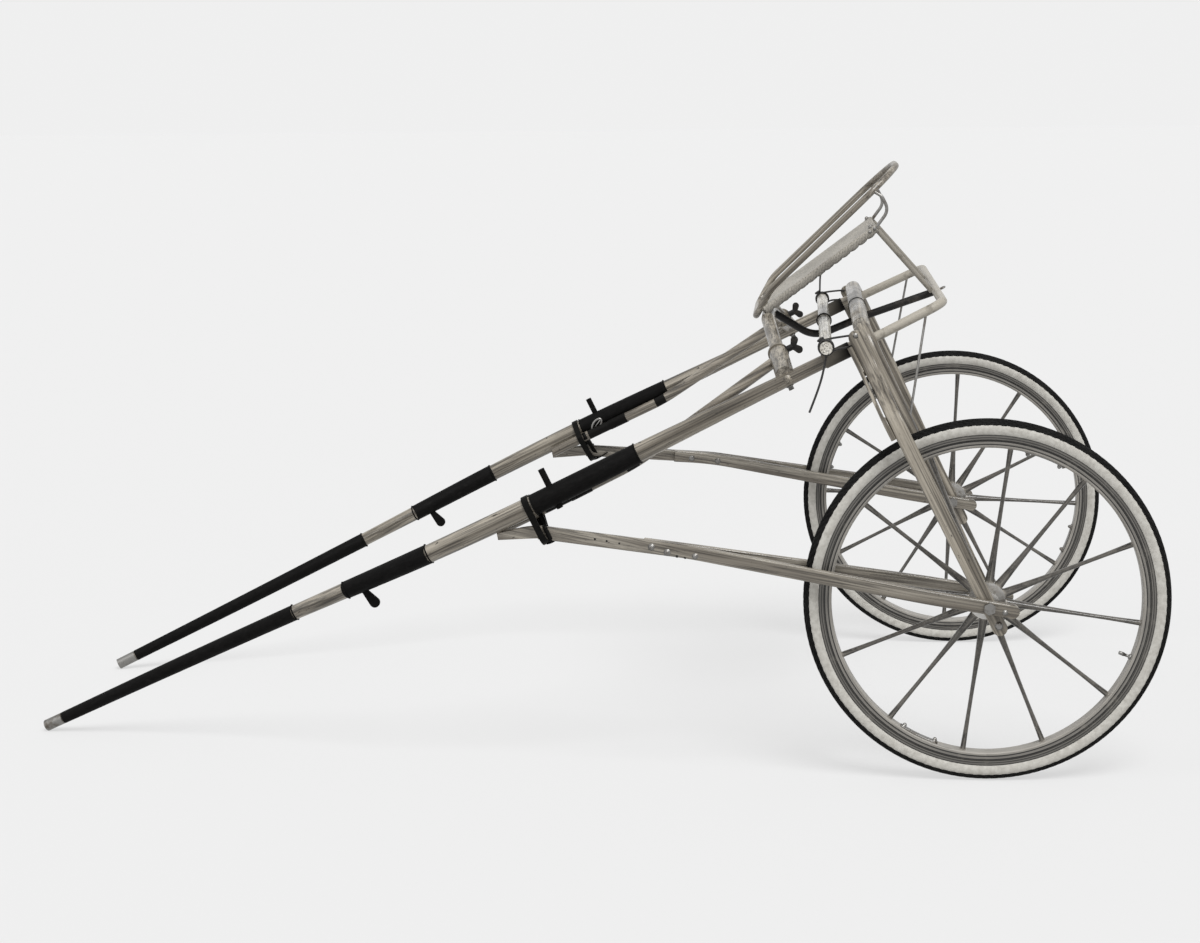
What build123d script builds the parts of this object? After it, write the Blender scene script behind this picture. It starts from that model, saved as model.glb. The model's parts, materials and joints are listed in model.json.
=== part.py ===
from build123d import *
import os
from math import asin, atan2, cos, degrees, hypot, radians, sin

# A racing sulky, parked on its two wheels and its two shaft tips.
# All lengths are in millimetres. Pieces are drawn in the driving attitude, with the shafts level:
# u runs forward from the axle, y to the left, w up from the axle. At the end the whole cart is
# pitched nose down about its axle until the tips stand on the floor.

# Wheels
WHEEL_DIA = 711.0
TYRE_SECTION = 39.0
TRACK = 1160.0
RIM_DEPTH = 26.0
RIM_WIDTH = 33.0
RIM_GROOVE = 2.5
RIM_CORNER = 3.0
SPOKE_COUNT = 12
SPOKE_PHASE = {"left": -8.6, "right": -3.0}
HUB_LENGTH = 99.0
HUB_BARREL_DIA = 36.0
HUB_RING_DIA = 72.0
HUB_RING_WIDTH = 26.0
HUB_CAP_DIA = 46.0
HUB_CAP_LENGTH = 7.0
AXLE_DIA = 14.0
AXLE_CLEARANCE = 0.08
HUB_SIDE_CLEARANCE = 0.5
FACE_CLEARANCE = 0.1

# Spoke sections: distance from the axle, half width along the rim, half width across
SPOKE_ROOT = (9.0, 10.0)
SPOKE_NECK = (5.0, 7.0)
SPOKE_FOOT = (5.6, 7.0)
SPOKE_NECK_RADIUS = 125.0
SPOKE_SEAT = 1.0

# Shafts: distance ahead of the axle, distance outside the arch's elbow axis, diameter
SHAFT_DROP = 26.0
SHAFT_STATIONS = (
    (0.0, -8.0, 27.0),
    (160.0, -5.0, 28.0),
    (493.0, 18.0, 38.0),
    (722.0, 42.0, 40.0),
    (960.0, 14.0, 37.0),
    (1160.0, -50.0, 33.0),
    (1289.0, -91.0, 30.0),
    (1600.0, -162.0, 26.0),
    (1912.0, -213.0, 21.0),
)
TIP_U = 1918.0
FERRULE_LENGTH = 43.0
FERRULE_WALL = 1.6
TENON_LENGTH = 36.0
TENON_DIA = 18.0
SPAN_STEP = 120.0

# Leather and tape wraps on each shaft: rear end, front end
WRAP_THICKNESS = 1.6
WRAPS = {
    "arch_end": (26.0, 84.0),
    "rear": (493.0, 720.0),
    "middle": (960.0, 1160.0),
    "front": (1289.0, 1873.0),
}
PEG_INSET = 44.0
PEG_DIA = 13.0
PEG_HEIGHT = 36.0
PEG_FOOT = 7.0
KEEPER_INSET = 34.0
KEEPER_DROP = 30.0
KEEPER_BACK = 10.0
KEEPER_NECK_DIA = 9.0
KEEPER_END_DIA = 21.0
KEEPER_THICKNESS = 6.0

# Arch: crossbar, elbows and the legs inside the wheels
ARCH_SIZE = 34.0
ARCH_CORNER = 15.5
ARCH_HEIGHT = 571.0
ARCH_SETBACK = 12.0
ARCH_INSET = 96.0
ARCH_ELBOW = 62.0
ARCH_BAND_WIDTH = 7.0
ARCH_BAND_THICKNESS = 1.2
LEG_WIDTH = 29.0
LEG_THICKNESS = 13.0
LEG_CORNER = 4.0
LEG_FLAT_TOP = 75.0
LEG_TAPER_TOP = 400.0
LEG_DROP = 62.0

# Legs outside the wheels, with the lap strip along the front of each
FORK_RISE = 7.0
FORK_STRAIGHT_SHARE = 0.5568
FORK_TYRE_ROOM = 46.5
FORK_LEAN = 6.0
FORK_GAP = 4.0
FORK_BENDS = (60.0, 60.0)
LAP_TOP_DROP = 19.0
LAP_TYRE_ROOM = 13.5
LAP_THICKNESS = 10.0
LAP_SLOT = 3.0
LAP_SEAT = 26.0
LAP_BENDS = (60.0, 30.0)
LAP_CORNER = 2.0

# Stays from the axle ends to the shafts
STAY_WIDTH = 27.0
STAY_THICKNESS = 13.0
STAY_TAIL = 58.0
STAY_FLAT = 116.0
SPLICE_U = 479.0
SPLICE_W = 338.0
SPLICE_OUT = 8.0
SPLICE_LENGTH = 90.0
STAY_BEND_U = 742.0
STAY_BEND_DROP = 49.0
STAY_FRONT_U = 815.0
STAY_FRONT_DROP = 31.0
STAY_TAPER_RISE = 30.0
STAY_BENDS = (400.0, 400.0, 150.0)
INNER_STAY_BENDS = (400.0, 300.0)
NUT_DIA = 24.0
NUT_THICKNESS = 10.0

# Strap round each shaft and stay
STRAP_U = 731.0
STRAP_WIDTH = 13.0
STRAP_THICKNESS = 2.6
STRAP_SLACK = 1.4
STRAP_REACH = 8.0

# Brace rails from the shafts to the front bow
RAIL_DIA = 22.0
RAIL_FRONT_U = 808.0
RAIL_LEAVE_U = 507.0
RAIL_BELOW_SHARE = 0.55
RAIL_CLEARANCE = 1.9
RAIL_RUNS = 4
RAIL_WRAP_REAR_U = 604.0
RAIL_WRAP_LENGTH = 46.0
RAIL_WRAP_THICKNESS = 0.9
RAIL_JOIN_SHARE = 0.3

# Front bow under the seat, with a sleeve and a clamp on each side
BOW_U = 164.0
BOW_DIA = 28.0
BOW_FOOT_OUT = 2.0
BOW_FOOT_RISE = 10.0
BOW_TOP_IN = 320.0
BOW_TOP_RISE = 97.2
BOW_CORNER = 46.0
BOW_START_SHARE = 0.2
SLEEVE_DIA = 38.0
SLEEVE_REACH = 124.0
CLAMP_WIDTH = 6.0
CLAMP_WALL = 2.2
WING_SPAN = 22.0
WING_LOBE_DIA = 15.0
WING_ROOT_DIA = 11.0
WING_BACK = 8.0
WING_THICKNESS = 6.0
WING_STEM_DIA = 13.0
WING_STEM_LENGTH = 14.0

# Seat: side boards, sling, hoop. Ends are given as distance ahead of the axle, height above the shafts
SEAT_HALF_WIDTH = 150.0
BOARD_FRONT_END = (166.0, 115.7)
BOARD_REAR_END = (-126.0, 170.1)
BOARD_DEPTH = 11.0
BOARD_THICKNESS = 11.0
BOARD_CORNER = 3.0
SLING_SAG = 12.0
SLING_THICKNESS = 5.0
SLING_END_GAP = 12.0
HOOP_FRONT_END = (185.0, 112.7)
HOOP_KNEE = (131.0, 151.3)
HOOP_REAR_END = (-217.0, 263.5)
HOOP_DIA = 14.0
HOOP_FRONT_CORNER = 32.0
HOOP_KNEE_BEND = 80.0
HOOP_REAR_CORNER = 110.0
HOOP_JOIN_SHARE = 0.4
BRACKET_DIA = 7.0
BRACKET_TOP_U = -150.0
BRACKET_BACK = 12.0
BRACKET_FALL = 18.0
BRACKET_LIFT = 22.0
BRACKET_BENDS = (16.0, 26.0)

# Rear rail, struts, brace rods, centre bar
REAR_RAIL_U = -177.0
REAR_RAIL_DROP = 28.0
REAR_RAIL_IN = 47.0
REAR_RAIL_DIA = 19.0
REAR_RAIL_CORNER = 42.0
REAR_RAIL_INSET = 14.0
STRUT_DIA = 10.5
STRUT_INSET = 5.0
STRUT_FOOT_AHEAD = 8.0
ROD_DIA = 5.0
ROD_TOP_U = -140.0
ROD_TOP_OUT = 6.0
ROD_FOOT_DROP = 214.0
CENTRE_BAR_DIA = 16.0
CENTRE_BAR_TAIL = 2.0
CENTRE_BAR_KNEE = 34.0
CENTRE_BAR_END = (10.0, 8.0)
CENTRE_BAR_BENDS = (300.0, 60.0)
SEAT_CLEARANCE = 0.3
EYE_RING_DIA = 18.0
EYE_WIRE_DIA = 4.0
EYE_SHANK = 4.0

# Loose bar lashed across the shafts
CROSS_BAR_U = 66.0
CROSS_BAR_DIA = 25.0
CROSS_BAR_OUT = 56.0
CROSS_BAND_THICKNESS = 1.5
LASH_DIA = 4.5
LASH_INSET = 16.0
LASH_SPREAD = 14.0
# Free end of the left lashing: steps forward, outward and down from the lashing, parked
TAIL_STEPS = (
    (0.0, 2.0, 0.2),
    (5.0, 6.0, 30.0),
    (17.0, 13.0, 69.0),
    (33.0, 16.0, 109.0),
)
BEND_SHARE = 0.45
BEND_ROOM_SHARE = 0.98

WHEEL_R = WHEEL_DIA / 2
TYRE_R = TYRE_SECTION / 2
TYRE_CENTRE_R = WHEEL_R - TYRE_R
RIM_INNER_R = TYRE_CENTRE_R - TYRE_R / 2 - RIM_DEPTH
WHEEL_Y = TRACK / 2
HUB_SPACE = HUB_LENGTH + 2 * HUB_SIDE_CLEARANCE
LEG_Y_INNER = WHEEL_Y - HUB_SPACE / 2 - LEG_THICKNESS / 2
LEG_Y_OUTER = WHEEL_Y + HUB_SPACE / 2 + LEG_THICKNESS / 2
STAY_STEP = LEG_THICKNESS / 2 + STAY_THICKNESS / 2 + FACE_CLEARANCE
STAY_Y_INNER = LEG_Y_INNER - STAY_STEP
STAY_Y_OUTER = LEG_Y_OUTER + STAY_STEP
ARCH_HALF_WIDTH = WHEEL_Y - ARCH_INSET
SHAFT_HEIGHT = ARCH_HEIGHT - SHAFT_DROP
SHAFT_ROWS = tuple((u, ARCH_HALF_WIDTH + out, dia) for u, out, dia in SHAFT_STATIONS)
FERRULE_R = SHAFT_STATIONS[-1][2] / 2 + FERRULE_WALL
PEG_U = WRAPS["rear"][1] - PEG_INSET
KEEPER_U = WRAPS["middle"][1] - KEEPER_INSET
FORK_Y = ARCH_HALF_WIDTH + ARCH_SIZE / 2 + LEG_THICKNESS / 2 + FORK_GAP
FORK_TOP = ARCH_HEIGHT + FORK_RISE
FORK_OVER_TYRE = WHEEL_R + FORK_TYRE_ROOM
FORK_STRAIGHT = FORK_OVER_TYRE + FORK_STRAIGHT_SHARE * (FORK_TOP - FORK_OVER_TYRE)
LAP_TOP = ARCH_HEIGHT - LAP_TOP_DROP
LAP_BOTTOM = WHEEL_R + LAP_TYRE_ROOM
SPLICE_Y = WHEEL_Y + SPLICE_OUT
STAY_BEND_W = SHAFT_HEIGHT - STAY_BEND_DROP
STAY_FRONT_W = SHAFT_HEIGHT - STAY_FRONT_DROP
BOW_FOOT_Y = ARCH_HALF_WIDTH + BOW_FOOT_OUT
BOW_FOOT_W = SHAFT_HEIGHT + BOW_FOOT_RISE
BOW_TOP_W = SHAFT_HEIGHT + BOW_TOP_RISE
BOW_TOP_Y = ARCH_HALF_WIDTH - BOW_TOP_IN
BOARD_FRONT, BOARD_REAR, HOOP_FRONT, HOOP_BEND, HOOP_REAR = (
    (u, SHAFT_HEIGHT + rise)
    for u, rise in (BOARD_FRONT_END, BOARD_REAR_END, HOOP_FRONT_END, HOOP_KNEE, HOOP_REAR_END)
)
REAR_RAIL_W = ARCH_HEIGHT - REAR_RAIL_DROP
REAR_RAIL_Y = ARCH_HALF_WIDTH - REAR_RAIL_IN
ROD_FOOT_W = ARCH_HEIGHT - ROD_FOOT_DROP
CROSS_BAR_HALF = ARCH_HALF_WIDTH + CROSS_BAR_OUT


def arch_u(w):
    """The arch leans back a little: this is its place fore and aft at a height."""
    return -ARCH_SETBACK * w / ARCH_HEIGHT


def arch_normal():
    """Direction square to the leaning plane of the arch."""
    return Vector(ARCH_HEIGHT, 0, ARCH_SETBACK).normalized()


def fork_u(w):
    """The outer legs stand ahead of the arch and meet it at the axle."""
    return FORK_LEAN * w / FORK_TOP


def along(start, end, share):
    """A point between two points."""
    return Vector(*start) + (Vector(*end) - Vector(*start)) * share


def rod(start, end, dia):
    """A straight round bar between two points."""
    start, end = Vector(*start), Vector(*end)
    length = (end - start).length
    bar = Cylinder(dia / 2, length, align=(Align.CENTER, Align.CENTER, Align.MIN))
    return Plane(origin=start, z_dir=end - start) * bar


def bent_path(points, radii):
    """Straight runs joined by tangent bends, each no larger than its two runs leave room for."""
    points = [Vector(*point) for point in points]
    last = len(points) - 2
    fitted = []
    for i, (before, point, after) in enumerate(zip(points, points[1:], points[2:])):
        turn = radians((point - before).get_angle(after - point))
        rear = (point - before).length / (1 if i == 0 else 2)
        front = (after - point).length / (1 if i + 1 == last else 2)
        room = BEND_ROOM_SHARE * min(rear, front) * cos(turn / 2) / sin(turn / 2)
        fitted.append(min(room, radii[i]))
    return FilletPolyline(*points, radius=fitted)


def bent_bar(points, radii, dia):
    """A round bar along straight runs joined by tangent bends."""
    path = bent_path(points, radii)
    section = Plane(origin=path @ 0, z_dir=path % 0) * Circle(dia / 2)
    return sweep(section, path=path)


def bent_strip(points, radii, width, thickness, corner):
    """A strip along a bent line: its thickness starts across the cart, its width square to that."""
    path = bent_path(points, radii)
    start = Plane(origin=path @ 0, x_dir=(0, 1, 0), z_dir=path % 0)
    return sweep(start * RectangleRounded(thickness, width, corner), path=path)


def cross_disc(u, y, w, dia, thickness):
    """A short round piece whose axis lies across the cart."""
    return Pos(u, y, w) * Rot(X=90) * Cylinder(dia / 2, thickness)


def shaft_at(u):
    """Centre, direction and diameter of the left shaft, from its stations."""
    rows = SHAFT_ROWS
    last = len(rows) - 2
    i = max(k for k in range(last + 1) if rows[k][0] <= u or k == 0)

    def slope(k, column):
        a, b = rows[max(k - 1, 0)], rows[min(k + 1, len(rows) - 1)]
        return (b[column] - a[column]) / (b[0] - a[0])

    span = rows[i + 1][0] - rows[i][0]
    t = (u - rows[i][0]) / span

    def blend(column):
        p0, p1 = rows[i][column], rows[i + 1][column]
        m0, m1 = slope(i, column) * span, slope(i + 1, column) * span
        value = (2 * t**3 - 3 * t**2 + 1) * p0 + (t**3 - 2 * t**2 + t) * m0
        value += (3 * t**2 - 2 * t**3) * p1 + (t**3 - t**2) * m1
        rate = (6 * t**2 - 6 * t) * (p0 - p1) + (3 * t**2 - 4 * t + 1) * m0 + (3 * t**2 - 2 * t) * m1
        return value, rate / span

    y, dy = blend(1)
    dia, _ = blend(2)
    return Vector(u, y, SHAFT_HEIGHT), Vector(1, dy, 0).normalized(), dia


def shaft_plane(u):
    """The plane square to the left shaft at a station."""
    centre, direction, _ = shaft_at(u)
    return Plane(origin=centre, x_dir=(0, 0, 1), z_dir=direction)


def section_at(u, extra):
    """The round section of the left shaft at a station, made larger all round by extra."""
    return shaft_plane(u) * Circle(shaft_at(u)[2] / 2 + extra)


def shaft_span(rear_u, front_u, extra):
    """A stretch of the shaft's tapered, bowed form, made larger all round by extra."""
    steps = max(1, round((front_u - rear_u) / SPAN_STEP))
    stations = [rear_u + (front_u - rear_u) * i / steps for i in range(steps + 1)]
    return loft([section_at(u, extra) for u in stations])


def skin(span):
    """The round side of a stretch of the shaft, without its two ends."""
    return next(face for face in span.faces() if face.geom_type != GeomType.PLANE)


def shaft_ends():
    """Stations where the shaft goes from bare wood to a wrap or back, with its two ends."""
    ends = {SHAFT_STATIONS[0][0], TIP_U - FERRULE_LENGTH}
    for rear, front in WRAPS.values():
        ends |= {rear, front}
    return sorted(ends)


def make_shaft(arch):
    """Shaft: its stretches sewn into one solid, saddled on the arch, with a tenon in the ferrule."""
    ends = shaft_ends()
    faces = [skin(shaft_span(rear, front, 0)) for rear, front in zip(ends, ends[1:])]
    faces += [section_at(ends[0], 0).face(), section_at(ends[-1], 0).face()]
    shaft = Part() + Solid(Shell(faces))
    foot, direction = shaft_at(ends[-1])[:2]
    tenon = rod(foot, foot + direction * TENON_LENGTH, TENON_DIA)
    return shaft + tenon - arch


def make_sleeve_wrap(rear, front):
    """Sleeve round one stretch of the shaft."""
    rings = [(section_at(u, WRAP_THICKNESS) - section_at(u, 0)).face() for u in (rear, front)]
    sides = [skin(shaft_span(rear, front, extra)) for extra in (WRAP_THICKNESS, 0)]
    return Part() + Solid(Shell(sides + rings))


def make_arch():
    """Crossbar, elbows and inner legs: one bent bar that flattens to a tab below each axle."""
    elbow_drop = ARCH_HEIGHT - LEG_TAPER_TOP
    lean = (LEG_Y_INNER - ARCH_HALF_WIDTH) / (ARCH_HEIGHT - LEG_FLAT_TOP)
    taper_y = ARCH_HALF_WIDTH + lean * elbow_drop
    corners = [
        (arch_u(LEG_TAPER_TOP), taper_y, LEG_TAPER_TOP),
        (arch_u(ARCH_HEIGHT), ARCH_HALF_WIDTH, ARCH_HEIGHT),
        (arch_u(ARCH_HEIGHT), -ARCH_HALF_WIDTH, ARCH_HEIGHT),
        (arch_u(LEG_TAPER_TOP), -taper_y, LEG_TAPER_TOP),
    ]
    path = FilletPolyline(*corners, radius=ARCH_ELBOW)
    start = Plane(origin=path @ 0, x_dir=arch_normal(), z_dir=path % 0)
    arch = sweep(start * RectangleRounded(ARCH_SIZE, ARCH_SIZE, ARCH_CORNER), path=path)
    top = Plane(origin=corners[0], x_dir=start.x_dir, z_dir=-start.z_dir)
    foot = Plane(origin=(arch_u(LEG_FLAT_TOP), LEG_Y_INNER, LEG_FLAT_TOP), x_dir=(1, 0, 0), z_dir=(0, 0, -1))
    leg = loft(
        [
            top * RectangleRounded(ARCH_SIZE, ARCH_SIZE, ARCH_CORNER),
            foot * RectangleRounded(LEG_WIDTH, LEG_THICKNESS, LEG_CORNER),
        ]
    )
    flat = LEG_FLAT_TOP + LEG_DROP - LEG_WIDTH / 2
    leg += foot * Pos(0, 0, flat / 2) * Box(LEG_WIDTH, LEG_THICKNESS, flat)
    leg += cross_disc(arch_u(LEG_FLAT_TOP), LEG_Y_INNER, LEG_FLAT_TOP - flat, LEG_WIDTH, LEG_THICKNESS)
    return arch + leg + mirror(leg, about=Plane.XZ)


def fork_line(bottom, shift):
    """Centre line of an outer leg: down beside the elbow, out over the tyre, down past the axle."""
    return [
        (fork_u(FORK_TOP) + shift, FORK_Y, FORK_TOP - LEG_WIDTH / 2),
        (fork_u(FORK_STRAIGHT) + shift, FORK_Y, FORK_STRAIGHT),
        (fork_u(FORK_OVER_TYRE) + shift, LEG_Y_OUTER, FORK_OVER_TYRE),
        (fork_u(bottom) + shift, LEG_Y_OUTER, bottom),
    ]


def make_outer_leg(arch):
    """The leg outside a wheel, rounded at both ends, seated on the arch at the elbow."""
    bottom = LEG_WIDTH / 2 - LEG_DROP
    line = fork_line(bottom, 0)
    leg = bent_strip(line, FORK_BENDS, LEG_WIDTH, LEG_THICKNESS, LEG_CORNER)
    for u, y, w in (line[0], line[-1]):
        leg += cross_disc(u, y, w, LEG_WIDTH, LEG_THICKNESS)
    return leg - arch


def make_lap(arch, outer_leg):
    """Strip along the front of an outer leg, cut square above the tyre, slotted behind its middle."""
    line = fork_line(LAP_BOTTOM, LEG_WIDTH / 2 + LAP_THICKNESS / 2)
    line[0] = (line[0][0], line[0][1], LAP_TOP)
    lap = bent_strip(line, LAP_BENDS, LAP_THICKNESS, LEG_THICKNESS, LAP_CORNER)
    high, low = Vector(*line[1]), Vector(*line[2])
    slot_length = (high - low).length - LAP_SEAT
    slot = Box(LAP_SLOT * 2, LEG_THICKNESS * 2, slot_length)
    back = Vector(LAP_THICKNESS / 2, 0, 0)
    lap -= Plane(origin=(high + low) / 2 - back, x_dir=(1, 0, 0), z_dir=high - low) * slot
    return lap - outer_leg - arch


def stay_tail(y):
    """The flat of a stay at the axle: its two end points in line with the splice."""
    run = Vector(SPLICE_U, 0, SPLICE_W).normalized()
    rear = run * (STAY_WIDTH / 2 - STAY_TAIL)
    front = run * STAY_FLAT
    return (rear.X, y, rear.Z), (front.X, y, front.Z)


def make_stay(shaft):
    """Outer stay: from outside the wheel to a tapered end under the shaft."""
    rear, flat = stay_tail(STAY_Y_OUTER)
    front_y = shaft_at(STAY_FRONT_U)[0].Y
    bend_y = shaft_at(STAY_BEND_U)[0].Y
    line = [
        rear,
        flat,
        (SPLICE_U, SPLICE_Y, SPLICE_W),
        (STAY_BEND_U, bend_y, STAY_BEND_W),
        (STAY_FRONT_U, front_y, STAY_FRONT_W),
    ]
    stay = bent_strip(line, STAY_BENDS, STAY_WIDTH, STAY_THICKNESS, LEG_CORNER)
    stay += cross_disc(*rear, STAY_WIDTH, STAY_THICKNESS)
    run = STAY_FRONT_U - STAY_BEND_U
    tilt = degrees(atan2(STAY_TAPER_RISE, run))
    under = Box(3 * run, STAY_WIDTH * 3, STAY_WIDTH, align=(Align.CENTER, Align.CENTER, Align.MAX))
    edge_w = STAY_FRONT_W - STAY_WIDTH / 2
    stay -= Pos(STAY_BEND_U, bend_y, edge_w - STAY_FRONT_W + STAY_BEND_W) * Rot(Y=-tilt) * Pos(X=1.5 * run) * under
    return stay - shaft


def make_inner_stay(stay):
    """Inner stay: from inside the wheel to the splice, flat against the outer stay there."""
    rear, flat = stay_tail(STAY_Y_INNER)
    run = Vector(STAY_BEND_U - SPLICE_U, shaft_at(STAY_BEND_U)[0].Y - SPLICE_Y, STAY_BEND_W - SPLICE_W)
    splice = Vector(SPLICE_U, SPLICE_Y - STAY_THICKNESS, SPLICE_W)
    front = splice + run.normalized() * SPLICE_LENGTH
    line = [rear, flat, splice, front]
    inner = bent_strip(line, INNER_STAY_BENDS, STAY_WIDTH, STAY_THICKNESS, LEG_CORNER)
    inner += cross_disc(*rear, STAY_WIDTH, STAY_THICKNESS)
    return inner - stay


def make_axle():
    """Axle bolt through legs, stays and hub, with a nut at each end."""
    half = STAY_Y_OUTER + STAY_THICKNESS / 2 - WHEEL_Y
    axle = cross_disc(0, WHEEL_Y, 0, AXLE_DIA, 2 * half)
    for side in (-1, 1):
        middle = WHEEL_Y + side * (half + NUT_THICKNESS / 2)
        nut = extrude(RegularPolygon(NUT_DIA / 2, 6), NUT_THICKNESS / 2, both=True)
        axle += Pos(0, middle, 0) * Rot(X=90) * nut
    return axle


def make_wraps():
    """Leather and tape sleeves on a shaft, with the upright peg and the hanging keeper."""
    wraps = {name: make_sleeve_wrap(*ends) for name, ends in WRAPS.items()}
    centre, _, dia = shaft_at(PEG_U)
    reach = dia / 2 + WRAP_THICKNESS
    peg = rod((PEG_U, centre.Y, centre.Z - reach - PEG_FOOT), (PEG_U, centre.Y, centre.Z + reach + PEG_HEIGHT), PEG_DIA)
    wraps["rear"] += peg - shaft_span(*WRAPS["rear"], 0)
    centre, _, dia = shaft_at(KEEPER_U)
    neck = (0, -dia / 4)
    end = (-KEEPER_BACK, -dia / 2 - KEEPER_DROP)
    ends = ((neck, KEEPER_NECK_DIA), (end, KEEPER_END_DIA))
    tongue = make_hull([CenterArc(place, width / 2, 0, 360) for place, width in ends])
    across = Plane(origin=centre, x_dir=(1, 0, 0), z_dir=(0, -1, 0))
    tab = extrude(across * tongue, KEEPER_THICKNESS / 2, both=True)
    wraps["middle"] += tab - shaft_span(*WRAPS["middle"], 0)
    return Compound(children=[wrap.solid() for wrap in wraps.values()])


def make_ferrule():
    """Metal cap over the tenon at the tip of a shaft."""
    foot, direction, _ = shaft_at(TIP_U - FERRULE_LENGTH)
    cap = rod(foot, shaft_tip(), 2 * FERRULE_R)
    return cap - rod(foot, foot + direction * TENON_LENGTH, TENON_DIA)


def shaft_tip():
    """The point at the front of the ferrule, on its axis."""
    centre, direction, _ = shaft_at(TIP_U - FERRULE_LENGTH)
    return centre + direction * FERRULE_LENGTH


def make_strap():
    """Leather strap round the shaft, the brace rail and the front end of the stay."""
    centre, _, dia = shaft_at(STRAP_U)
    rail = rail_point(STRAP_U)
    run = (STRAP_U - SPLICE_U) / (STAY_BEND_U - SPLICE_U)
    stay_w = SPLICE_W + run * (STAY_BEND_W - SPLICE_W)
    held = (
        (centre.Y, SHAFT_HEIGHT, dia / 2),
        (rail.Y, rail.Z, RAIL_DIA / 2),
        (centre.Y, stay_w, STAY_WIDTH / 2 + STRAP_REACH),
    )
    plane = Plane(origin=(STRAP_U - STRAP_WIDTH / 2, 0, 0), x_dir=(0, 1, 0), z_dir=(1, 0, 0))
    loops = []
    for extra in (STRAP_SLACK + STRAP_THICKNESS, STRAP_SLACK):
        circles = [CenterArc((y, w), radius + extra, 0, 360) for y, w, radius in held]
        loops.append(make_hull(circles))
    return extrude(plane * (loops[0] - loops[1]), STRAP_WIDTH)


def rail_point(u):
    """Centre of a brace rail where it lies against the lower inner side of the wrapped shaft."""
    centre, direction, dia = shaft_at(u)
    reach = dia / 2 + WRAP_THICKNESS + RAIL_DIA / 2 + RAIL_CLEARANCE
    inward = Vector(direction.Y, -direction.X, 0) * reach * cos(asin(RAIL_BELOW_SHARE))
    return centre + inward - Vector(0, 0, reach * RAIL_BELOW_SHARE)


def rail_end():
    """Where a brace rail meets the axis of the bow's sleeve."""
    foot, top = bow_axis()
    return along(foot, top, RAIL_JOIN_SHARE)


def make_rail():
    """Brace rail: along the shaft, then inward and up to the sleeve of the front bow."""
    step = (RAIL_FRONT_U - RAIL_LEAVE_U) / RAIL_RUNS
    line = [rail_point(RAIL_FRONT_U - step * i) for i in range(RAIL_RUNS + 1)] + [rail_end()]
    foot, _ = bow_axis()
    return bent_bar(line, bend_radii(line), RAIL_DIA) - rod(foot, sleeve_top(), SLEEVE_DIA)


def bow_axis():
    """Foot and corner of the left side of the front bow."""
    return (BOW_U, BOW_FOOT_Y, BOW_FOOT_W), (BOW_U, BOW_TOP_Y, BOW_TOP_W)


def sleeve_top():
    """Where the sleeve of the bow ends, on its axis."""
    foot, top = bow_axis()
    return along(foot, top, SLEEVE_REACH / (BOW_FOOT_Y - BOW_TOP_Y))


def make_bow():
    """Front bow: a bent bar from sleeve to sleeve, under the front of the seat."""
    foot, top = bow_axis()
    start = along(foot, top, BOW_START_SHARE)
    points = [start, top, (top[0], -top[1], top[2]), (start.X, -start.Y, start.Z)]
    return bent_bar(points, (BOW_CORNER, BOW_CORNER), BOW_DIA)


def make_sleeve(shaft, bow):
    """Sleeve at the foot of the bow, saddled on the shaft."""
    foot, _ = bow_axis()
    return rod(foot, sleeve_top(), SLEEVE_DIA) - shaft - bow


def make_clamp(sleeve, bow):
    """Clamp ring at the top of a sleeve, with its wing nut to the rear."""
    foot, top = bow_axis()
    direction = (Vector(*top) - Vector(*foot)).normalized()
    start = sleeve_top() - direction * CLAMP_WIDTH
    ring = rod(start, start + direction * CLAMP_WIDTH, SLEEVE_DIA + 2 * CLAMP_WALL)
    back = start + direction * CLAMP_WIDTH / 2 - Vector(SLEEVE_DIA / 2, 0, 0)
    stem_end = back - Vector(WING_STEM_LENGTH, 0, 0)
    ring += rod(back, stem_end, WING_STEM_DIA)
    flat = Plane(origin=stem_end, x_dir=(1, 0, 0), z_dir=(0, -1, 0))
    for rise in (-WING_SPAN / 2, WING_SPAN / 2):
        ends = (((0, 0), WING_ROOT_DIA), ((-WING_BACK, rise), WING_LOBE_DIA))
        lobe = make_hull([CenterArc(place, dia / 2, 0, 360) for place, dia in ends])
        ring += extrude(flat * lobe, WING_THICKNESS / 2, both=True)
    return ring - sleeve - bow


def board_direction():
    """Unit vector along a seat board, front to rear."""
    return Vector(BOARD_REAR[0] - BOARD_FRONT[0], 0, BOARD_REAR[1] - BOARD_FRONT[1]).normalized()


def board_plane(y):
    """Plane across a seat board at its front end, x across the cart, y square to the seat."""
    return Plane(origin=(BOARD_FRONT[0], y, BOARD_FRONT[1]), x_dir=(0, 1, 0), z_dir=board_direction())


def board_length():
    return hypot(BOARD_REAR[0] - BOARD_FRONT[0], BOARD_REAR[1] - BOARD_FRONT[1])


def make_board(bow, hoop):
    """Side board of the seat."""
    section = board_plane(SEAT_HALF_WIDTH) * RectangleRounded(BOARD_THICKNESS, BOARD_DEPTH, BOARD_CORNER)
    return extrude(section, board_length()) - bow - hoop


def make_sling(bow):
    """Seat sling between the boards, sagging in the middle."""
    half = SEAT_HALF_WIDTH - BOARD_THICKNESS / 2 - SEAT_CLEARANCE
    up = board_plane(0).y_dir.Z
    sag = SLING_SAG if up > 0 else -SLING_SAG
    outer = ThreePointArc((-half, 0), (0, -sag), (half, 0))
    thick = SLING_THICKNESS if up > 0 else -SLING_THICKNESS
    inner = ThreePointArc((half, thick), (0, thick - sag), (-half, thick))
    ends = [Line((half, 0), (half, thick)), Line((-half, thick), (-half, 0))]
    sheet = make_face([outer, ends[0], inner, ends[1]])
    plane = board_plane(0).offset(SLING_END_GAP)
    return extrude(plane * sheet, board_length() - 2 * SLING_END_GAP) - bow


def across(place, half):
    """A place given fore and aft and up, at each side of the cart."""
    return (place[0], half, place[1]), (place[0], -half, place[1])


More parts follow.
